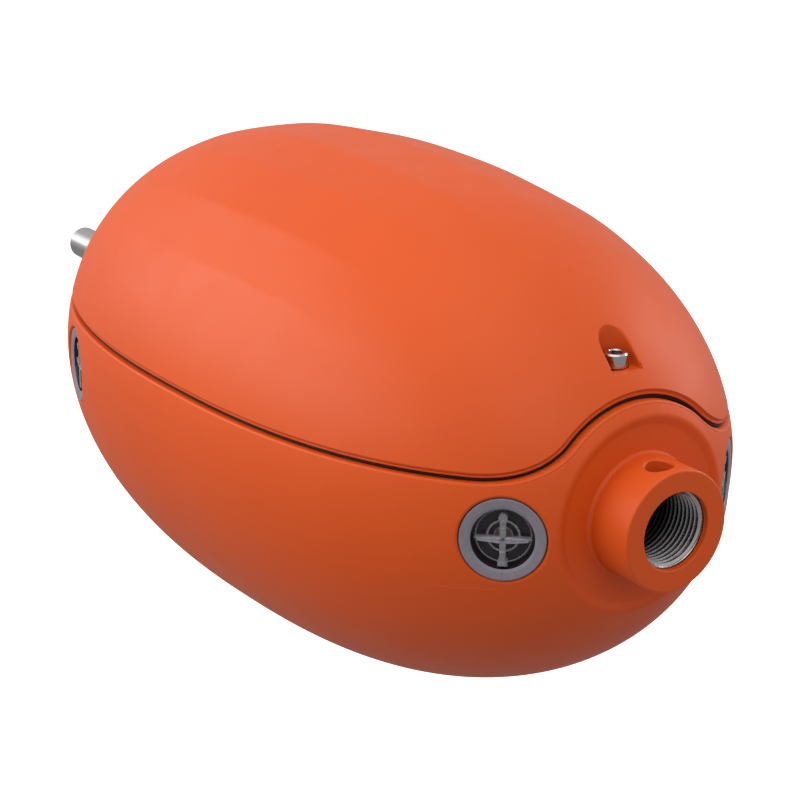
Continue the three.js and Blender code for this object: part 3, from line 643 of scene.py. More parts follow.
def scoop_rim(place):
    """Places along the upper edge of one pocket, just under the outside."""
    station, toward = place["station"], place["toward"]
    reach = SCOOP + SCOOP_EDGE
    plan = [(station + toward * (26 - 1.5 * step), -reach) for step in range(18)]
    for step in range(25):
        angle = math.pi * (step / 24 - 0.5)
        plan.append((station - toward * reach * math.cos(angle), reach * math.sin(angle)))
    plan += [(x, reach) for x, _ in reversed(plan[:18])]
    places = []
    for x, y in plan:
        limit = abs(inset_radius(x, SCOOP_EDGE + HAIR))
        if limit > math.hypot(y, place["floor"] + 0.2):
            places.append((x, y, math.sqrt(limit**2 - y**2)))
    return places


def above_seam(piece, offset):
    return combine(piece, under_seam(offset), "DIFFERENCE")


above_seam(cover, HALF_GAP + TONGUE_DROP + LIP)
for place in SCREWS.values():
    combine(cover, scoop(place, SCOOP + SCOOP_EDGE, place["floor"]), "DIFFERENCE")
    near = egg_body("rim_core", SCOOP_EDGE, 288, 60)
    low, high = sorted((place["station"] - place["toward"] * 16, place["station"] + place["toward"] * 60))
    combine(near, block((low, -22, 36), (high, 22, 99)), "INTERSECT")
    above_seam(near, HALF_GAP + TONGUE_DROP + LIP)
    combine(near, scoop(place, SCOOP, place["floor"]), "DIFFERENCE")
    combine(cover, near, "UNION")
    combine(cover, bead("rim", scoop_rim(place), SCOOP_EDGE, closed=False), "UNION")

lip_core = above_seam(egg_body("lip_core", LIP, 288, 60), HALF_GAP + TONGUE_DROP)
combine(lip_core, under_seam(16), "INTERSECT")
combine(cover, lip_core, "UNION")
lip_line = seam_loop(HALF_GAP + TONGUE_DROP + LIP, LIP + HAIR)
combine(cover, bead("lip", lip_line, LIP, sides=9), "UNION")
tongue = above_seam(egg_body("tongue", TONGUE_INSET, 288, 60), HALF_GAP + TONGUE_EDGE)
tongue_core = above_seam(egg_body("tongue_core", TONGUE_INSET + TONGUE_EDGE, 288, 60), HALF_GAP)
combine(tongue, tongue_core, "UNION")
tongue_line = seam_loop(HALF_GAP + TONGUE_EDGE, TONGUE_INSET + TONGUE_EDGE)
combine(tongue, bead("edge", tongue_line, TONGUE_EDGE), "UNION")
combine(tongue, under_seam(14), "INTERSECT")
combine(cover, tongue, "UNION")
combine(cover, bead("groove", seam_loop(HALF_GAP + TONGUE_DROP, TONGUE_INSET), 0.22), "DIFFERENCE")
combine(cover, egg_body("hollow", SKIN, 128, 40), "DIFFERENCE")
combine(cover, inner_works("top_cover", 1.9), "UNION")
for place in SCREWS.values():
    combine(cover, scoop(place, SCOOP, place["floor"]), "DIFFERENCE")
print("cover faces", len(cover.data.polygons), "open edges", open_edges(cover))


# %% [markdown]
# ## Finishes
# Every finish is a small network of nodes. To keep the maths readable, a socket is wrapped
# so that Python's operators add Math nodes, and one method adds any other node. Patterns
# read Object coordinates, which are metres in the part's frame, so a scale of 1000 gives
# features of about a millimetre.

# %% A wrapper for sockets and nodes


class Value:
    """An output socket that can be used in sums."""

    def __init__(self, finish, socket):
        self.finish = finish
        self.socket = socket

    def maths(self, operation, first, second):
        return self.finish.node("Math", {0: first, 1: second}, {"operation": operation})

    def __add__(self, other):
        return self.maths("ADD", self, other)

    def __radd__(self, other):
        return self.maths("ADD", other, self)

    def __sub__(self, other):
        return self.maths("SUBTRACT", self, other)

    def __rsub__(self, other):
        return self.maths("SUBTRACT", other, self)

    def __mul__(self, other):
        return self.maths("MULTIPLY", self, other)

    def __rmul__(self, other):
        return self.maths("MULTIPLY", other, self)


class Finish:
    """A material whose Principled shader is fed by patterns."""

    def __init__(self, name, **constants):
        self.material = bpy.data.materials.new(name)
        self.material.use_nodes = True
        self.tree = self.material.node_tree
        self.shader = self.tree.nodes["Principled BSDF"]
        for key, value in constants.items():
            self.shader.inputs[key.replace("_", " ")].default_value = value
        self.place = self.node("TexCoord", output="Object")

    def node(self, kind, inputs=None, settings=None, output=0):
        made = self.tree.nodes.new("ShaderNode" + kind)
        for key, value in (settings or {}).items():
            if key == "stops":
                for element, (position, colour) in zip(made.color_ramp.elements, value):
                    element.position, element.color = position, colour
            else:
                setattr(made, key, value)
        for key, value in (inputs or {}).items():
            if isinstance(value, Value):
                self.tree.links.new(value.socket, made.inputs[key])
            else:
                made.inputs[key].default_value = value
        return Value(self, made.outputs[output])

    def noise(self, scale, detail=2.0, place=None, roughness=0.5):
        inputs = {"Vector": place or self.place, "Scale": scale, "Detail": detail, "Roughness": roughness}
        return self.node("TexNoise", inputs)

    def stretched(self, x, y, z):
        """Object coordinates scaled by hand, for grain that runs one way."""
        return self.node("Mapping", {"Vector": self.place, "Scale": (x, y, z)})

    def ramp(self, value, low, high, start=0.0, stop=1.0):
        """A number mapped from start..stop to low..high."""
        settings = {"clamp": True}
        inputs = {"Value": value, "From Min": start, "From Max": stop, "To Min": low, "To Max": high}
        return self.node("MapRange", inputs, settings)

    def mix(self, factor, first, second):
        """A colour between two, each given as (r, g, b) or as another mix."""
        first, second = (c if isinstance(c, Value) else (*c, 1) for c in (first, second))
        inputs = {"Factor": factor, 6: first, 7: second}
        return self.node("Mix", inputs, {"data_type": "RGBA"}, output=2)

    def feed(self, socket, value):
        self.tree.links.new(value.socket, self.shader.inputs[socket])
        return self

    def bump(self, height, distance, strength=1.0):
        """Small relief, with its height in metres."""
        inputs = {"Height": height, "Distance": distance, "Strength": strength}
        return self.feed("Normal", self.node("Bump", inputs))


def worn(name, scale, detail, first, second, rough, relief, stretch=None, **constants):
    """A finish in which one pattern varies the colour, the gloss and a little relief."""
    finish = Finish(name, **constants)
    place = finish.stretched(*stretch) if stretch else None
    pattern = finish.noise(scale, detail, place)
    finish.feed("Base Color", finish.mix(pattern, first, second))
    finish.feed("Roughness", finish.ramp(pattern, *rough, 0.3, 0.7))
    return finish.bump(pattern, relief)


# %% [markdown]
# ### Orange powder coat
# Powder coat is satin. It scatters light broadly, has a very fine orange-peel skin and is
# a little deeper in tone where it lies thicker. A thin coat gives the pale, broad sheen.

# %% Orange powder coat
paint = Finish("orange_powder_coat", IOR=1.45, Specular_IOR_Level=0.32, Coat_Roughness=0.38, Coat_IOR=1.45)
tone = paint.noise(9, 3)
speck = paint.noise(1700, 2)
colour = paint.mix(paint.ramp(tone, 0, 1, 0.3, 0.7), (0.735, 0.090, 0.0070), (0.700, 0.082, 0.0062))
colour = paint.mix(paint.ramp(speck, 0, 0.10, 0.45, 0.75), colour, (0.61, 0.068, 0.0055))
paint.feed("Base Color", colour)
paint.feed("Roughness", paint.ramp(paint.noise(60, 3), 0.44, 0.52, 0.3, 0.7))
paint.feed("Coat Weight", paint.ramp(tone, 0.10, 0.15, 0.3, 0.7))
peel = paint.noise(900, 2) * 0.7 + paint.noise(2600, 2) * 0.3
paint.bump(peel, 0.00003)

# %% [markdown]
# ### Metals
# Turned steel has fine rings, and a drawn rod has long faint bands. Both are noise that is
# squeezed along one axis.

# %% Steel, brass and sheet
rod_steel = Finish("drawn_steel", Metallic=1.0)
bands = rod_steel.noise(1, 3, rod_steel.stretched(6, 700, 700))
rings = rod_steel.noise(1, 2, rod_steel.stretched(5200, 20, 20))
banding = rod_steel.ramp(bands, 0, 1, 0.3, 0.7)
rod_steel.feed("Base Color", rod_steel.mix(banding, (0.60, 0.58, 0.57), (0.42, 0.41, 0.42)))
rod_steel.feed("Roughness", rod_steel.ramp(bands + rings, 0.22, 0.42, 0.6, 1.4))
rod_steel.bump(bands * 0.6 + rings * 0.4, 0.00002)

thread_steel = Finish("cut_thread_steel", Metallic=1.0)
marks = thread_steel.noise(1, 3, thread_steel.stretched(900, 2500, 2500))
along = thread_steel.node("SeparateXYZ", {"Vector": thread_steel.place}, output=0)
# Painted shade: deeper in the bore the thread fades to nearly black, from 5 to 20 mm behind the origin, as
# the socket's depth lies in shade.
bore_shade = thread_steel.ramp(along, 1, 0, -0.020, -0.005)
steel = thread_steel.mix(thread_steel.ramp(marks, 0, 1, 0.3, 0.7), (0.62, 0.60, 0.60), (0.46, 0.44, 0.45))
thread_steel.feed("Base Color", thread_steel.mix(bore_shade, steel, (0.020, 0.016, 0.015)))
thread_steel.feed("Roughness", thread_steel.ramp(marks, 0.20, 0.38, 0.3, 0.7))
thread_steel.bump(marks, 0.00002)

bright_steel = Finish("polished_steel", Metallic=1.0)
scuffs = bright_steel.noise(2400, 3)
bright_steel.feed("Base Color", bright_steel.mix(scuffs, (0.62, 0.61, 0.61), (0.52, 0.51, 0.52)))
bright_steel.feed("Roughness", bright_steel.ramp(scuffs, 0.10, 0.24, 0.3, 0.7))
bright_steel.bump(bright_steel.noise(900, 2), 0.00001)

brass = worn(
    "machined_brass", 1, 3, (0.66, 0.47, 0.20), (0.52, 0.36, 0.14),
    rough=(0.24, 0.42), relief=0.00002, stretch=(400, 2000, 2000), Metallic=1.0,
)

milled = worn(
    "milled_aluminium", 1, 3, (0.66, 0.67, 0.69), (0.52, 0.53, 0.55),
    rough=(0.30, 0.48), relief=0.00002, stretch=(60, 3000, 3000), Metallic=1.0,
)

tinned = worn(
    "tinned_sheet", 160, 4, (0.76, 0.76, 0.76), (0.60, 0.61, 0.62),
    rough=(0.22, 0.40), relief=0.00004, Metallic=1.0,
)

# %% [markdown]
# ### Rubber, plastics and the lamp's clear moulding
# Rubber is nearly black and dusty. The lamp moulding is one clear plastic: its rim is
# frosted, so it glows grey-violet, and the ribs behind the face are glossy. The floor of its
# well is painted opaque and nearly black, as painted shade of the closed case behind it.

# %% Rubber, plastics, glass
rubber = Finish("black_rubber", Specular_IOR_Level=0.22)
dust = rubber.noise(400, 4)
dusted = rubber.ramp(dust, 0, 1, 0.4, 0.8)
rubber.feed("Base Color", rubber.mix(dusted, (0.005, 0.005, 0.006), (0.016, 0.015, 0.016)))
rubber.feed("Roughness", rubber.ramp(dust, 0.42, 0.62, 0.3, 0.7))
rubber.bump(rubber.noise(2200, 2), 0.00003)

frosted = Finish("frosted_rim", IOR=1.49, Transmission_Weight=0.30, Coat_Roughness=0.2)
haze = frosted.noise(700, 3)
frosted.feed("Base Color", frosted.mix(haze, (0.270, 0.240, 0.290), (0.380, 0.345, 0.405)))
frosted.feed("Roughness", frosted.ramp(haze, 0.34, 0.48, 0.3, 0.7))
frosted.feed("Coat Weight", frosted.ramp(haze, 0.25, 0.4, 0.3, 0.7))
frosted.bump(frosted.noise(2500, 2), 0.00002)

clear = worn(
    "clear_moulding", 300, 2, (0.70, 0.66, 0.74), (0.80, 0.76, 0.82),
    rough=(0.06, 0.16), relief=0.00003, IOR=1.49, Transmission_Weight=0.72,
)

# Painted shade: the floor of the lamp's well is opaque and nearly black, standing in for the shade of the
# closed case seen through the clear moulding.
lamp_floor_shade = worn(
    "dark_lamp_floor", 600, 3, (0.006, 0.004, 0.006), (0.022, 0.016, 0.020),
    rough=(0.10, 0.22), relief=0.00003, IOR=1.49,
)

black_plastic = worn(
    "black_moulding", 1500, 3, (0.014, 0.014, 0.016), (0.032, 0.032, 0.036),
    rough=(0.42, 0.60), relief=0.00004,
)

# Painted shade: the lamp's phosphor is dim and brownish instead of its own bright yellow, as it sits in
# shade inside the lamp.
shaded_phosphor = worn(
    "lamp_phosphor", 4000, 2, (0.11, 0.09, 0.05), (0.08, 0.065, 0.035),
    rough=(0.30, 0.5), relief=0.00003,
)

board_green = Finish("solder_mask")
weave = board_green.noise(1, 1, board_green.stretched(1400, 1400, 1))
bricks = {"Scale": 260.0, "Color1": (0, 0, 0, 1), "Color2": (1, 1, 1, 1), "Mortar Size": 0.05}
bricks.update({"Vector": board_green.place, "Mortar": (0.4, 0.4, 0.4, 1)})
tracks = board_green.node("TexBrick", bricks)
board_green.feed("Base Color", board_green.mix(tracks, (0.012, 0.085, 0.035), (0.020, 0.120, 0.052)))
board_green.feed("Roughness", board_green.ramp(weave, 0.28, 0.42, 0.3, 0.7))
board_green.bump(tracks, 0.00003)

ceramic = worn(
    "fired_ceramic", 1300, 4, (0.66, 0.54, 0.36), (0.54, 0.43, 0.28),
    rough=(0.45, 0.65), relief=0.00004,
)

sleeve = worn(
    "shrink_sleeve", 1, 3, (0.020, 0.090, 0.230), (0.032, 0.125, 0.300),
    rough=(0.22, 0.36), relief=0.00012, stretch=(90, 500, 500),
)

jacket = worn(
    "lead_jacket", 900, 3, (0.016, 0.016, 0.018), (0.036, 0.035, 0.036),
    rough=(0.40, 0.58), relief=0.00003,
)


def paint_with(piece, *finishes):
    piece.data.materials.clear()
    for finish in finishes:
        piece.data.materials.append(finish.material)
    return piece


# %% [markdown]
# ## Finish the shells
# Both shells get smooth shading up to an angle and the orange coat, and they take the place
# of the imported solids.

# %% Hand the shells over


def egg_normals(piece, reach=0.035):
    """Corners that lie on the round egg take its own normal, so no cut shows in the sheen."""
    mesh = piece.data
    normals = [corner.vector.copy() for corner in mesh.corner_normals]
    for face in mesh.polygons:
        for loop in face.loop_indices:
            point = mesh.vertices[mesh.loops[loop].vertex_index].co
            x, away = point.x / MM - WIDEST, math.hypot(point.y, point.z) / MM
            if not TAIL_HALF[0] + 3 < x < RECESS_RIM - 4 or rib_weight(point) > 0:
                continue
            along, outward = egg_normal(x)
            if abs(away - egg_radius(x)) * outward > reach:
                continue
            true = Vector((along, outward * point.y / MM / away, outward * point.z / MM / away))
            if face.normal.dot(true) > 0.9:
                normals[loop] = true
    mesh.normals_split_custom_set(normals)


for piece, node, body in ((lower, "lower_case", "case"), (cover, "top_cover", "cover")):
    smooth(piece)
    egg_normals(piece)
    paint_with(piece, paint)
    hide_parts(node)
    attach(piece, body)

# %% [markdown]
# ## The seal in the joint
# The black line between the shells is a flat rubber seal. Its outer edge bulges a little
# where it is squeezed, so a bead is laid along it.

# %% Model the seal
seal = under_seam(0.45)
combine(seal, under_seam(-0.45), "DIFFERENCE")
combine(seal, egg_body("outer", 2.2, 288, 60), "INTERSECT")
combine(seal, bead("bulge", seam_loop(0, 2.2), 0.44), "UNION")
combine(seal, egg_body("inner", 5.2, 128, 40, RECESS_FACE - 4), "DIFFERENCE")
seal.name = seal.data.name = "joint_seal"
smooth(seal, 40)
paint_with(seal, rubber)
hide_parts("seal_gasket")
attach(seal, "case")
print("seal faces", len(seal.data.polygons), "open edges", open_edges(seal))

# %% [markdown]
# ## The threaded bush
# The socket's thread is real: a single tooth is wound into a helix with a Screw modifier,
# once for each turn, and cut out of a plain bush.

# %% Model the bush and its thread


def wound(name, mouth, root, half_mouth, half_root, pitch, start, end):
    """A thread groove about X: its mouth and root are radii, its halves are widths along X."""
    corners = ((mouth, -half_mouth), (root, -half_root), (root, half_root), (mouth, half_mouth))
    groove = draw(name, [Vector((0, y * MM, z * MM)) for y, z in corners])
    bpy.ops.mesh.edge_face_add()
    bpy.ops.mesh.delete(type="ONLY_FACE")
    done()
    winding = groove.modifiers.new("winding", "SCREW")
    winding.axis = "Z"
    winding.steps = winding.render_steps = 48
    winding.iterations = math.ceil((end - start) / pitch)
    winding.screw_offset = pitch * MM
    winding.use_normal_calculate = True
    take(groove)
    bpy.ops.object.modifier_apply(modifier=winding.name)
    groove.data.transform(Matrix.Translation(at(start, 0, 0)) @ Matrix.Rotation(math.pi / 2, 4, "Y"))
    edit(groove)
    bpy.ops.mesh.remove_doubles(threshold=1e-6)
    bpy.ops.mesh.select_all(action="DESELECT")
    bpy.ops.mesh.select_non_manifold()
    bpy.ops.mesh.edge_face_add()
    bpy.ops.mesh.select_all(action="SELECT")
    bpy.ops.mesh.normals_make_consistent(inside=False)
    done()
    return groove


PITCH, THREAD_CREST, THREAD_ROOT = 2.0, 12.4, 13.5
bush_low, bush_high = (corner.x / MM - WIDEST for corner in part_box("thread_bush"))
BUSH_OUTSIDE = 16.5
bush_outline = [
    (bush_low, THREAD_CREST),
    (bush_low, BUSH_OUTSIDE),
    (bush_high, BUSH_OUTSIDE),
    (bush_high, THREAD_CREST + 0.9),
    (bush_high - 1.0, THREAD_CREST),
]
bush = spun("threaded_bush", bush_outline, 96)
groove_start, groove_end = bush_low - 2 * PITCH, bush_high + 2
groove = wound(
    "groove", THREAD_CREST - 0.3, THREAD_ROOT, 0.93, 0.14, PITCH, groove_start, groove_end
)
print("groove open edges", open_edges(groove))
combine(bush, groove, "DIFFERENCE")
combine(bush, cylinder("cut", 4.75, 0, 40, lock_tilt, 48), "DIFFERENCE")
smooth(bush, 25)
paint_with(bush, thread_steel)
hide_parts("thread_bush")
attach(bush, "case")
print("bush faces", len(bush.data.polygons), "open edges", open_edges(bush))


# %% [markdown]
# ## The cover screws
# A socket-head cap screw is turned, so its outline is spun. The hexagon socket is cut with a
# six-sided cutter whose floor is drilled, and the shank carries a real thread of M5 pitch.

# %% Model one cover screw and copy it
HEAD, HEAD_HIGH, SHANK, SCREW_PITCH = 4.25, 5.0, 2.5, 0.8


def cap_screw(name, length):
    """A cap screw along X: the underside of its head at x = 0, its head towards +X."""
    outline = rounded(
        [
            (-length, 0),
            (-length, SHANK - 0.5),
            (-length + 0.5, SHANK - 0.02),
            (-0.3, SHANK - 0.02),
            (-0.0, SHANK + 0.2),
            (0, HEAD, 0.2),
            (HEAD_HIGH - 0.5, HEAD, 0.12),
            (HEAD_HIGH, HEAD - 0.62, 0.12),
            (HEAD_HIGH, 2.75),
            (HEAD_HIGH - 0.35, 2.42),
            (HEAD_HIGH - 0.5, 0),
        ],
        closed=False,
    )
    piece = spun(name, outline, 64, closed=False)
    combine(piece, cylinder("socket", 2.3, HEAD_HIGH - 2.5, HEAD_HIGH + 1, sides=6), "DIFFERENCE")
    combine(piece, cylinder("drill", 1.8, HEAD_HIGH - 2.9, HEAD_HIGH - 2, sides=32), "DIFFERENCE")
    groove = wound("groove", SHANK + 0.2, SHANK - 0.45, 0.38, 0.05, SCREW_PITCH, -length - SCREW_PITCH, -3)
    combine(piece, groove, "DIFFERENCE")
    piece.data.transform(Matrix.Translation((-WIDEST * MM, 0, 0)))
    return piece


for end, place in SCREWS.items():
    screw = cap_screw("cap_screw_" + end, place["length"])
    seat = at(place["station"], 0, place["floor"] + 0.3)
    stand = Matrix.Translation(seat) @ Matrix.Rotation(-math.pi / 2, 4, "Y")
    screw.data.transform(stand @ Matrix.Rotation(math.radians(12), 4, "X"))
    smooth(screw, 28)
    paint_with(screw, bright_steel)
    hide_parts("cover_screw_" + end)
    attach(screw, end + "_screw")
    print(screw.name, "open edges", open_edges(screw))

# %% [markdown]
# ## The lamps
# A lamp window is one clear moulding. Its frosted rim is a spun ring with a deep well
# inside, whose floor is painted nearly black as painted shade of the case behind it. Across
# the well stand a narrow upright bar with a round head and two leaf-shaped wings, around a
# low dome ring. Two hairline ridges mark where the mould closed.

# %% Model the lamp moulding once


def lathe_to_lamp(matrix):
    """Carries a shape turned about X so that it lies about a lamp's own Z."""
    basis = Matrix(((0, 1, 0), (0, 0, 1), (1, 0, 0))).to_4x4()
    return matrix @ basis @ Matrix.Translation((-WIDEST * MM, 0, 0))


def small_box(name, low, high, edge, finish):
    """A box with bevelled edges, between two corners in the lathe's millimetres."""
    piece = block(low, high)
    piece.name = piece.data.name = name
    edit(piece)
    bpy.ops.mesh.bevel(offset=edge * MM, segments=3, affect="EDGES")
    done()
    return paint_with(piece, finish)


WINDOW, WELL, WELL_FLOOR = 14.7, 10.8, -6.1
rim_outline = [
    (-6.5, 0),
    (-6.5, WINDOW),
    (-1.5, WINDOW, 0.55),
    (-1.75, WELL + 1.0, 0.2),
    (-2.1, WELL, 0.3),
    (WELL_FLOOR, WELL - 0.5),
    (WELL_FLOOR, 0),
]
rim_piece = spun("lamp_rim", rounded(rim_outline, closed=False), 128, closed=False)
# The faces inside the well take the second finish, the painted shade of the well floor.
paint_with(rim_piece, frosted, lamp_floor_shade)
for face in rim_piece.data.polygons:
    reach = math.hypot(face.center.y, face.center.z) / MM
    depth = face.center.x / MM - WIDEST
    face.material_index = int(reach < WELL - 0.05 and depth > -6.4)

parts = []
bar = small_box("bar", (WELL_FLOOR - 0.1, -1.1, -9.9), (-2.4, 1.1, 7.6), 0.35, clear)
head = cylinder("head", 1.5, WELL_FLOOR - 0.1, -2.1, sides=40)
head.data.transform(Matrix.Translation((0, 0, 7.6 * MM)))
foot = small_box("foot", (WELL_FLOOR - 0.1, -1.7, -10.1), (-2.9, 1.7, -7.9), 0.3, clear)
combine(bar, head, "UNION")
combine(bar, foot, "UNION")
combine(bar, cylinder("slot", 0.7, -3.4, -2, sides=32), "DIFFERENCE")
parts.append(bar)
for side in (-1, 1):
    leaf = small_box("leaf", (-3.6, -4.0, -1.35), (-2.2, 4.0, 1.35), 0.5, clear)
    for vertex in leaf.data.vertices:
        share = side * vertex.co.y / MM / 4.0
        vertex.co.z *= 1.0 - 0.62 * max(0.0, share) - 0.15 * max(0.0, -share)
        vertex.co.x -= 0.7 * MM * max(0.0, share) ** 2
        vertex.co.y += side * 4.9 * MM
        vertex.co.z -= 0.5 * MM
    parts.append(leaf)
    low, high = (WELL_FLOOR - 0.1, side * 5.0 - 4.6, -0.45), (-3.2, side * 5.0 + 4.6, 0.05)
    parts.append(small_box("web", low, high, 0.2, clear))
for radius, cord, depth in ((5.4, 0.38, -5.6), (9.4, 0.3, -5.9), (3.0, 0.3, -5.9)):
    bpy.ops.object.select_all(action="DESELECT")
    bpy.ops.mesh.primitive_torus_add(
        major_radius=radius * MM, minor_radius=cord * MM, major_segments=72, minor_segments=12
    )
    hoop = bpy.context.object
    hoop.data.transform(Matrix.Translation(at(depth, 0, 0)) @ Matrix.Rotation(math.pi / 2, 4, "Y"))
    parts.append(paint_with(hoop, clear))
for low_z, high_z in ((WELL + 0.5, WINDOW - 0.5), (-WINDOW + 0.5, -WELL - 0.5)):
    ridge = small_box("ridge", (-2.6, -0.13, low_z), (-1.50, 0.13, high_z), 0.05, frosted)
    for vertex in ridge.data.vertices:
        if vertex.co.x > at(-2.0, 0, 0).x:
            vertex.co.x -= 0.18 * MM * (1 - (abs(vertex.co.z) / MM - WELL - 0.5) / (WINDOW - WELL - 1.0))
    parts.append(ridge)


def merge(name, pieces):
    """Joins pieces into the first one, with their own finishes kept."""
    take(pieces[0])
    for piece in pieces[1:]:
        piece.select_set(True)
    bpy.ops.object.join()
    pieces[0].name = pieces[0].data.name = name
    return pieces[0]


ribs_piece = merge("lamp_ribs", parts)
for name, (station, side) in LAMPS.items():
    matrix = lathe_to_lamp(lamp_frame(station, side))
    for source, title in ((rim_piece, "lamp_rim_"), (ribs_piece, "lamp_ribs_")):
        piece = copy_of(source, title + name)
        piece.data.transform(matrix)
        smooth(piece, 35)
        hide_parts("lamp_window_" + name)
        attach(piece, "case")
bpy.data.objects.remove(rim_piece)
bpy.data.objects.remove(ribs_piece)

# %% [markdown]
# ## The push rod and its gland nut
# The rod's outline carries its rounded tip, the groove of its stop ring and its plain inner
# end. The gland nut is a hexagon whose corners are turned off, as on any nut: a hexagonal
# bar is intersected with a spun, chamfered blank.

# %% Model the rod and the gland nut
ROD = 7.0
rod_low, rod_high = (corner.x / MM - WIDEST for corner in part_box("tail_rod"))
ring_low, ring_high = (corner.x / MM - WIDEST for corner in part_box("rod_stop_ring"))
rod_outline = [
    (rod_low, 0),
    (rod_low, ROD, 1.4),
    (ring_low - 0.15, ROD),
    (ring_low - 0.15, ROD - 1),
    (ring_high + 0.15, ROD - 1),
    (ring_high + 0.15, ROD),
    (rod_high, ROD, 0.5),
    (rod_high, 0),
]
rod = spun("push_rod", rounded(rod_outline, closed=False, steps=6), 96, closed=False)
smooth(rod, 30)
paint_with(rod, rod_steel)
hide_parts("tail_rod")
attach(rod, "push_rod")

nut_low, nut_high = (corner.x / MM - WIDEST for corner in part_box("rod_gland_nut"))
flange_high = nut_low + 6.0
blank = [
    (nut_low, 7.9),
    (nut_low, 11.2),
    (nut_low + 1.1, 13.0),
    (flange_high - 0.4, 13.0),
    (flange_high, 12.5),
    (flange_high, 10.5),
    (nut_high - 0.8, 10.5),
    (nut_high, 9.7),
    (nut_high, 7.3),
    (nut_low + 0.6, 7.3),
]
nut = spun("gland_nut", blank, 96)
hexagon = cylinder("hexagon", 13.0, nut_low - 1, flange_high, sides=6)
combine(hexagon, cylinder("neck", 10.5, flange_high - 1, nut_high + 1), "UNION")
combine(nut, hexagon, "INTERSECT")
smooth(nut, 30)
paint_with(nut, rod_steel)
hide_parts("rod_gland_nut")
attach(nut, "case")
print("rod and nut open edges", open_edges(rod), open_edges(nut))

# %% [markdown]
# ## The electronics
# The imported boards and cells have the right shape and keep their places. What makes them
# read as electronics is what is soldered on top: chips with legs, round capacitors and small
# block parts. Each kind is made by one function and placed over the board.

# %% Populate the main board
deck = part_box("main_board")[1].z / MM


def chip(x, y, length, width, height, legs):
    """A black chip with a row of bent legs along each long side."""
    low = (x - length / 2, y - width / 2, deck + 0.3)
    high = (x + length / 2, y + width / 2, deck + height)
    pieces = [small_box("part", low, high, 0.2, black_plastic)]
    for step in range(legs):
        centre = x + (step + 0.5) * length / legs - length / 2
        for side in (-1, 1):
            near, far = sorted((y + side * (width / 2 - 0.1), y + side * (width / 2 + 1.1)))
            low, high = (centre - 0.2, near, deck + 0.02), (centre + 0.2, far, deck + 0.32)
            pieces.append(small_box("part", low, high, 0.05, tinned))
    return pieces


def capacitor(x, y, radius, height):
    """A round capacitor with a rolled neck above its base."""
    neck = [(1.0, radius), (1.5, radius - 0.35, 0.2), (2.0, radius)]
    outline = [(0, 0), (0, radius, 0.3)] + neck + [(height, radius, 0.5), (height, 0)]
    piece = spun("can", rounded(outline, closed=False, steps=3), 32, closed=False)
    stand = Matrix.Translation(at(x, y, deck + 0.02)) @ Matrix.Rotation(-math.pi / 2, 4, "Y")
    piece.data.transform(stand @ Matrix.Translation((-WIDEST * MM, 0, 0)))
    return [paint_with(piece, tinned)]


fitted = []
CHIPS = (
    (-30, 18, 14, 10, 2.2, 10),
    (-34, -16, 10, 10, 1.8, 7),
    (-10, 33, 8, 5, 1.7, 4),
    (-8, -34, 8, 5, 1.7, 4),
    (48, 24, 6, 5, 1.6, 3),
)
CANS = ((-46, 30, 4, 9), (-46, -4, 4, 9), (-18, -30, 3, 7), (-24, 34, 2.5, 6), (22, 34, 3, 7))
for row in CHIPS:
    fitted += chip(*row)
for row in CANS:
    fitted += capacitor(*row)
rows = random.Random(5)
for step in range(30):
    x, y = rows.uniform(-50, -16), rows.choice((-38, -24, -6, 4, 8, 28, 38)) + rows.uniform(-1, 1)
    low, high = (x, y, deck + 0.02), (x + 1.6, y + 0.9, deck + 0.7)
    fitted.append(small_box("part", low, high, 0.1, ceramic if step % 2 else black_plastic))
components = merge("board_components", fitted)
smooth(components, 35)
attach(components, "case")
print("component faces", len(components.data.polygons))

# %% [markdown]
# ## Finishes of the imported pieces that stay
# Seals, boards, screws and cells already have their true shape, so they only change finish.

# %% Give every kept node its finish
KEPT = {
    "screw_seal": rubber,
    "screw_insert": brass,
    "lamp_seal": rubber,
    "lamp_led": shaded_phosphor,
    "lamp_board": black_plastic,
    "lamp_retainer": rod_steel,
    "lamp_lead": jacket,
    "rod_seal": rubber,
    "rod_stop_ring": rod_steel,
    "rod_switch": black_plastic,
    "switch_plunger": brass,
    "antenna_connector": brass,
    "antenna_lead": jacket,
    "antenna_bracket": milled,
    "gnss_antenna": ceramic,
    "chassis_plate": milled,
    "chassis_screw": bright_steel,
    "main_board": board_green,
    "rf_shield": tinned,
    "battery_holder": black_plastic,
    "battery_cell": sleeve,
    "battery_strap": rubber,
    "battery_lead": jacket,
}
for name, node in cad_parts.items():
    finish = next((KEPT[key] for key in KEPT if name.startswith(key)), None)
    if finish is None:
        continue
    node.data.materials.clear()
    node.data.materials.append(finish.material)
    take(node)
    bpy.ops.object.shade_smooth_by_angle(angle=math.radians(32))

# %% [markdown]
# ## Floor and light
# A pale floor lies well below the beacon, which is held by its nose in use. The floor glows
# a little, so it looks white, but it takes no part in the bounced light, so the underside
# keeps its deep shade. The light is soft: a bright room, a wide lamp on the left that draws
# the long sheen on the cover, a smaller one behind on the right, and two weak lamps above.

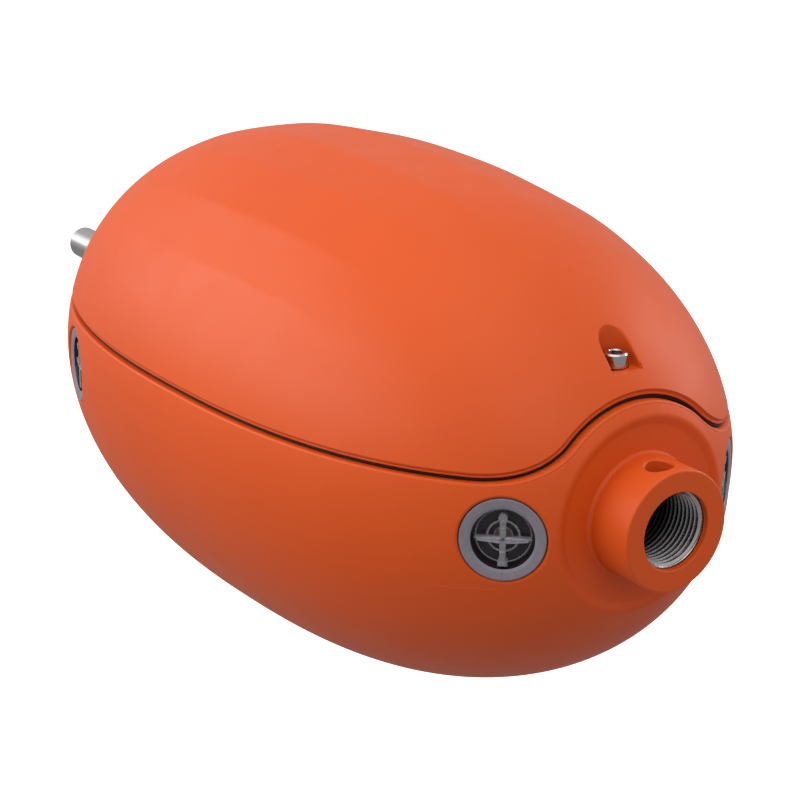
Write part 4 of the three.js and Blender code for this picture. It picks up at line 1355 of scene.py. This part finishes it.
# %% Floor and light
FLOOR_HEIGHT, FLOOR_WIDTH, FLOOR_GLOW = -0.30, 16, 0.62
bpy.ops.object.select_all(action="DESELECT")
bpy.ops.mesh.primitive_plane_add(size=FLOOR_WIDTH, location=(0, 0, FLOOR_HEIGHT))
floor = bpy.context.object
floor.name = "floor"
floor_finish = Finish("pale_floor")
mottle = floor_finish.noise(3, 3)
floor_finish.feed("Base Color", floor_finish.mix(mottle, (0.93, 0.93, 0.93), (0.91, 0.91, 0.91)))
floor_finish.feed("Roughness", floor_finish.ramp(mottle, 0.85, 0.95))
floor_finish.shader.inputs["Emission Color"].default_value = (1, 1, 1, 1)
floor_finish.shader.inputs["Emission Strength"].default_value = FLOOR_GLOW
paint_with(floor, floor_finish)
floor.visible_diffuse = False
floor.visible_glossy = False
floor.visible_transmission = False


def soft_lamp(name, azimuth, elevation, distance, size, brightness):
    """A rectangular soft lamp that faces the beacon. Azimuth 0 stands on the -Y side, 90 on +X."""
    turn, rise = math.radians(azimuth), math.radians(elevation)
    away = Vector((math.sin(turn) * math.cos(rise), -math.cos(turn) * math.cos(rise), math.sin(rise)))
    middle = at(0, 0, 0)
    bpy.ops.object.light_add(type="AREA", location=middle + away * distance)
    lamp = bpy.context.object
    lamp.name = name
    lamp.rotation_euler = away.to_track_quat("Z", "Y").to_euler()
    lamp.data.shape = "RECTANGLE"
    lamp.data.size, lamp.data.size_y = size
    lamp.data.energy = brightness * math.pi * size[0] * size[1]
    return lamp


soft_lamp("key", -34, 25, 1.5, (2.0, 0.95), 2.7)
soft_lamp("back_right", 170, 22, 1.3, (0.5, 0.8), 3.4)
soft_lamp("overhead", 0, 84, 1.6, (1.2, 1.2), 0.85)
soft_lamp("fill", 66, 46, 1.6, (1.1, 1.1), 1.1)
room = bpy.data.worlds.new("room")
bpy.context.scene.world = room
room.use_nodes = True
nodes, links = room.node_tree.nodes, room.node_tree.links
direction = nodes.new("ShaderNodeTexCoord")
split = nodes.new("ShaderNodeSeparateXYZ")
level = nodes.new("ShaderNodeMapRange")
links.new(direction.outputs["Generated"], split.inputs[0])
links.new(split.outputs["Z"], level.inputs["Value"])
links.new(level.outputs["Result"], nodes["Background"].inputs["Strength"])
for key, value in {"From Min": -0.35, "From Max": 0.35, "To Min": 0.32, "To Max": 0.62}.items():
    level.inputs[key].default_value = value
nodes["Background"].inputs["Color"].default_value = (1, 1, 1, 1)
bpy.context.scene.view_settings.view_transform = "Standard"
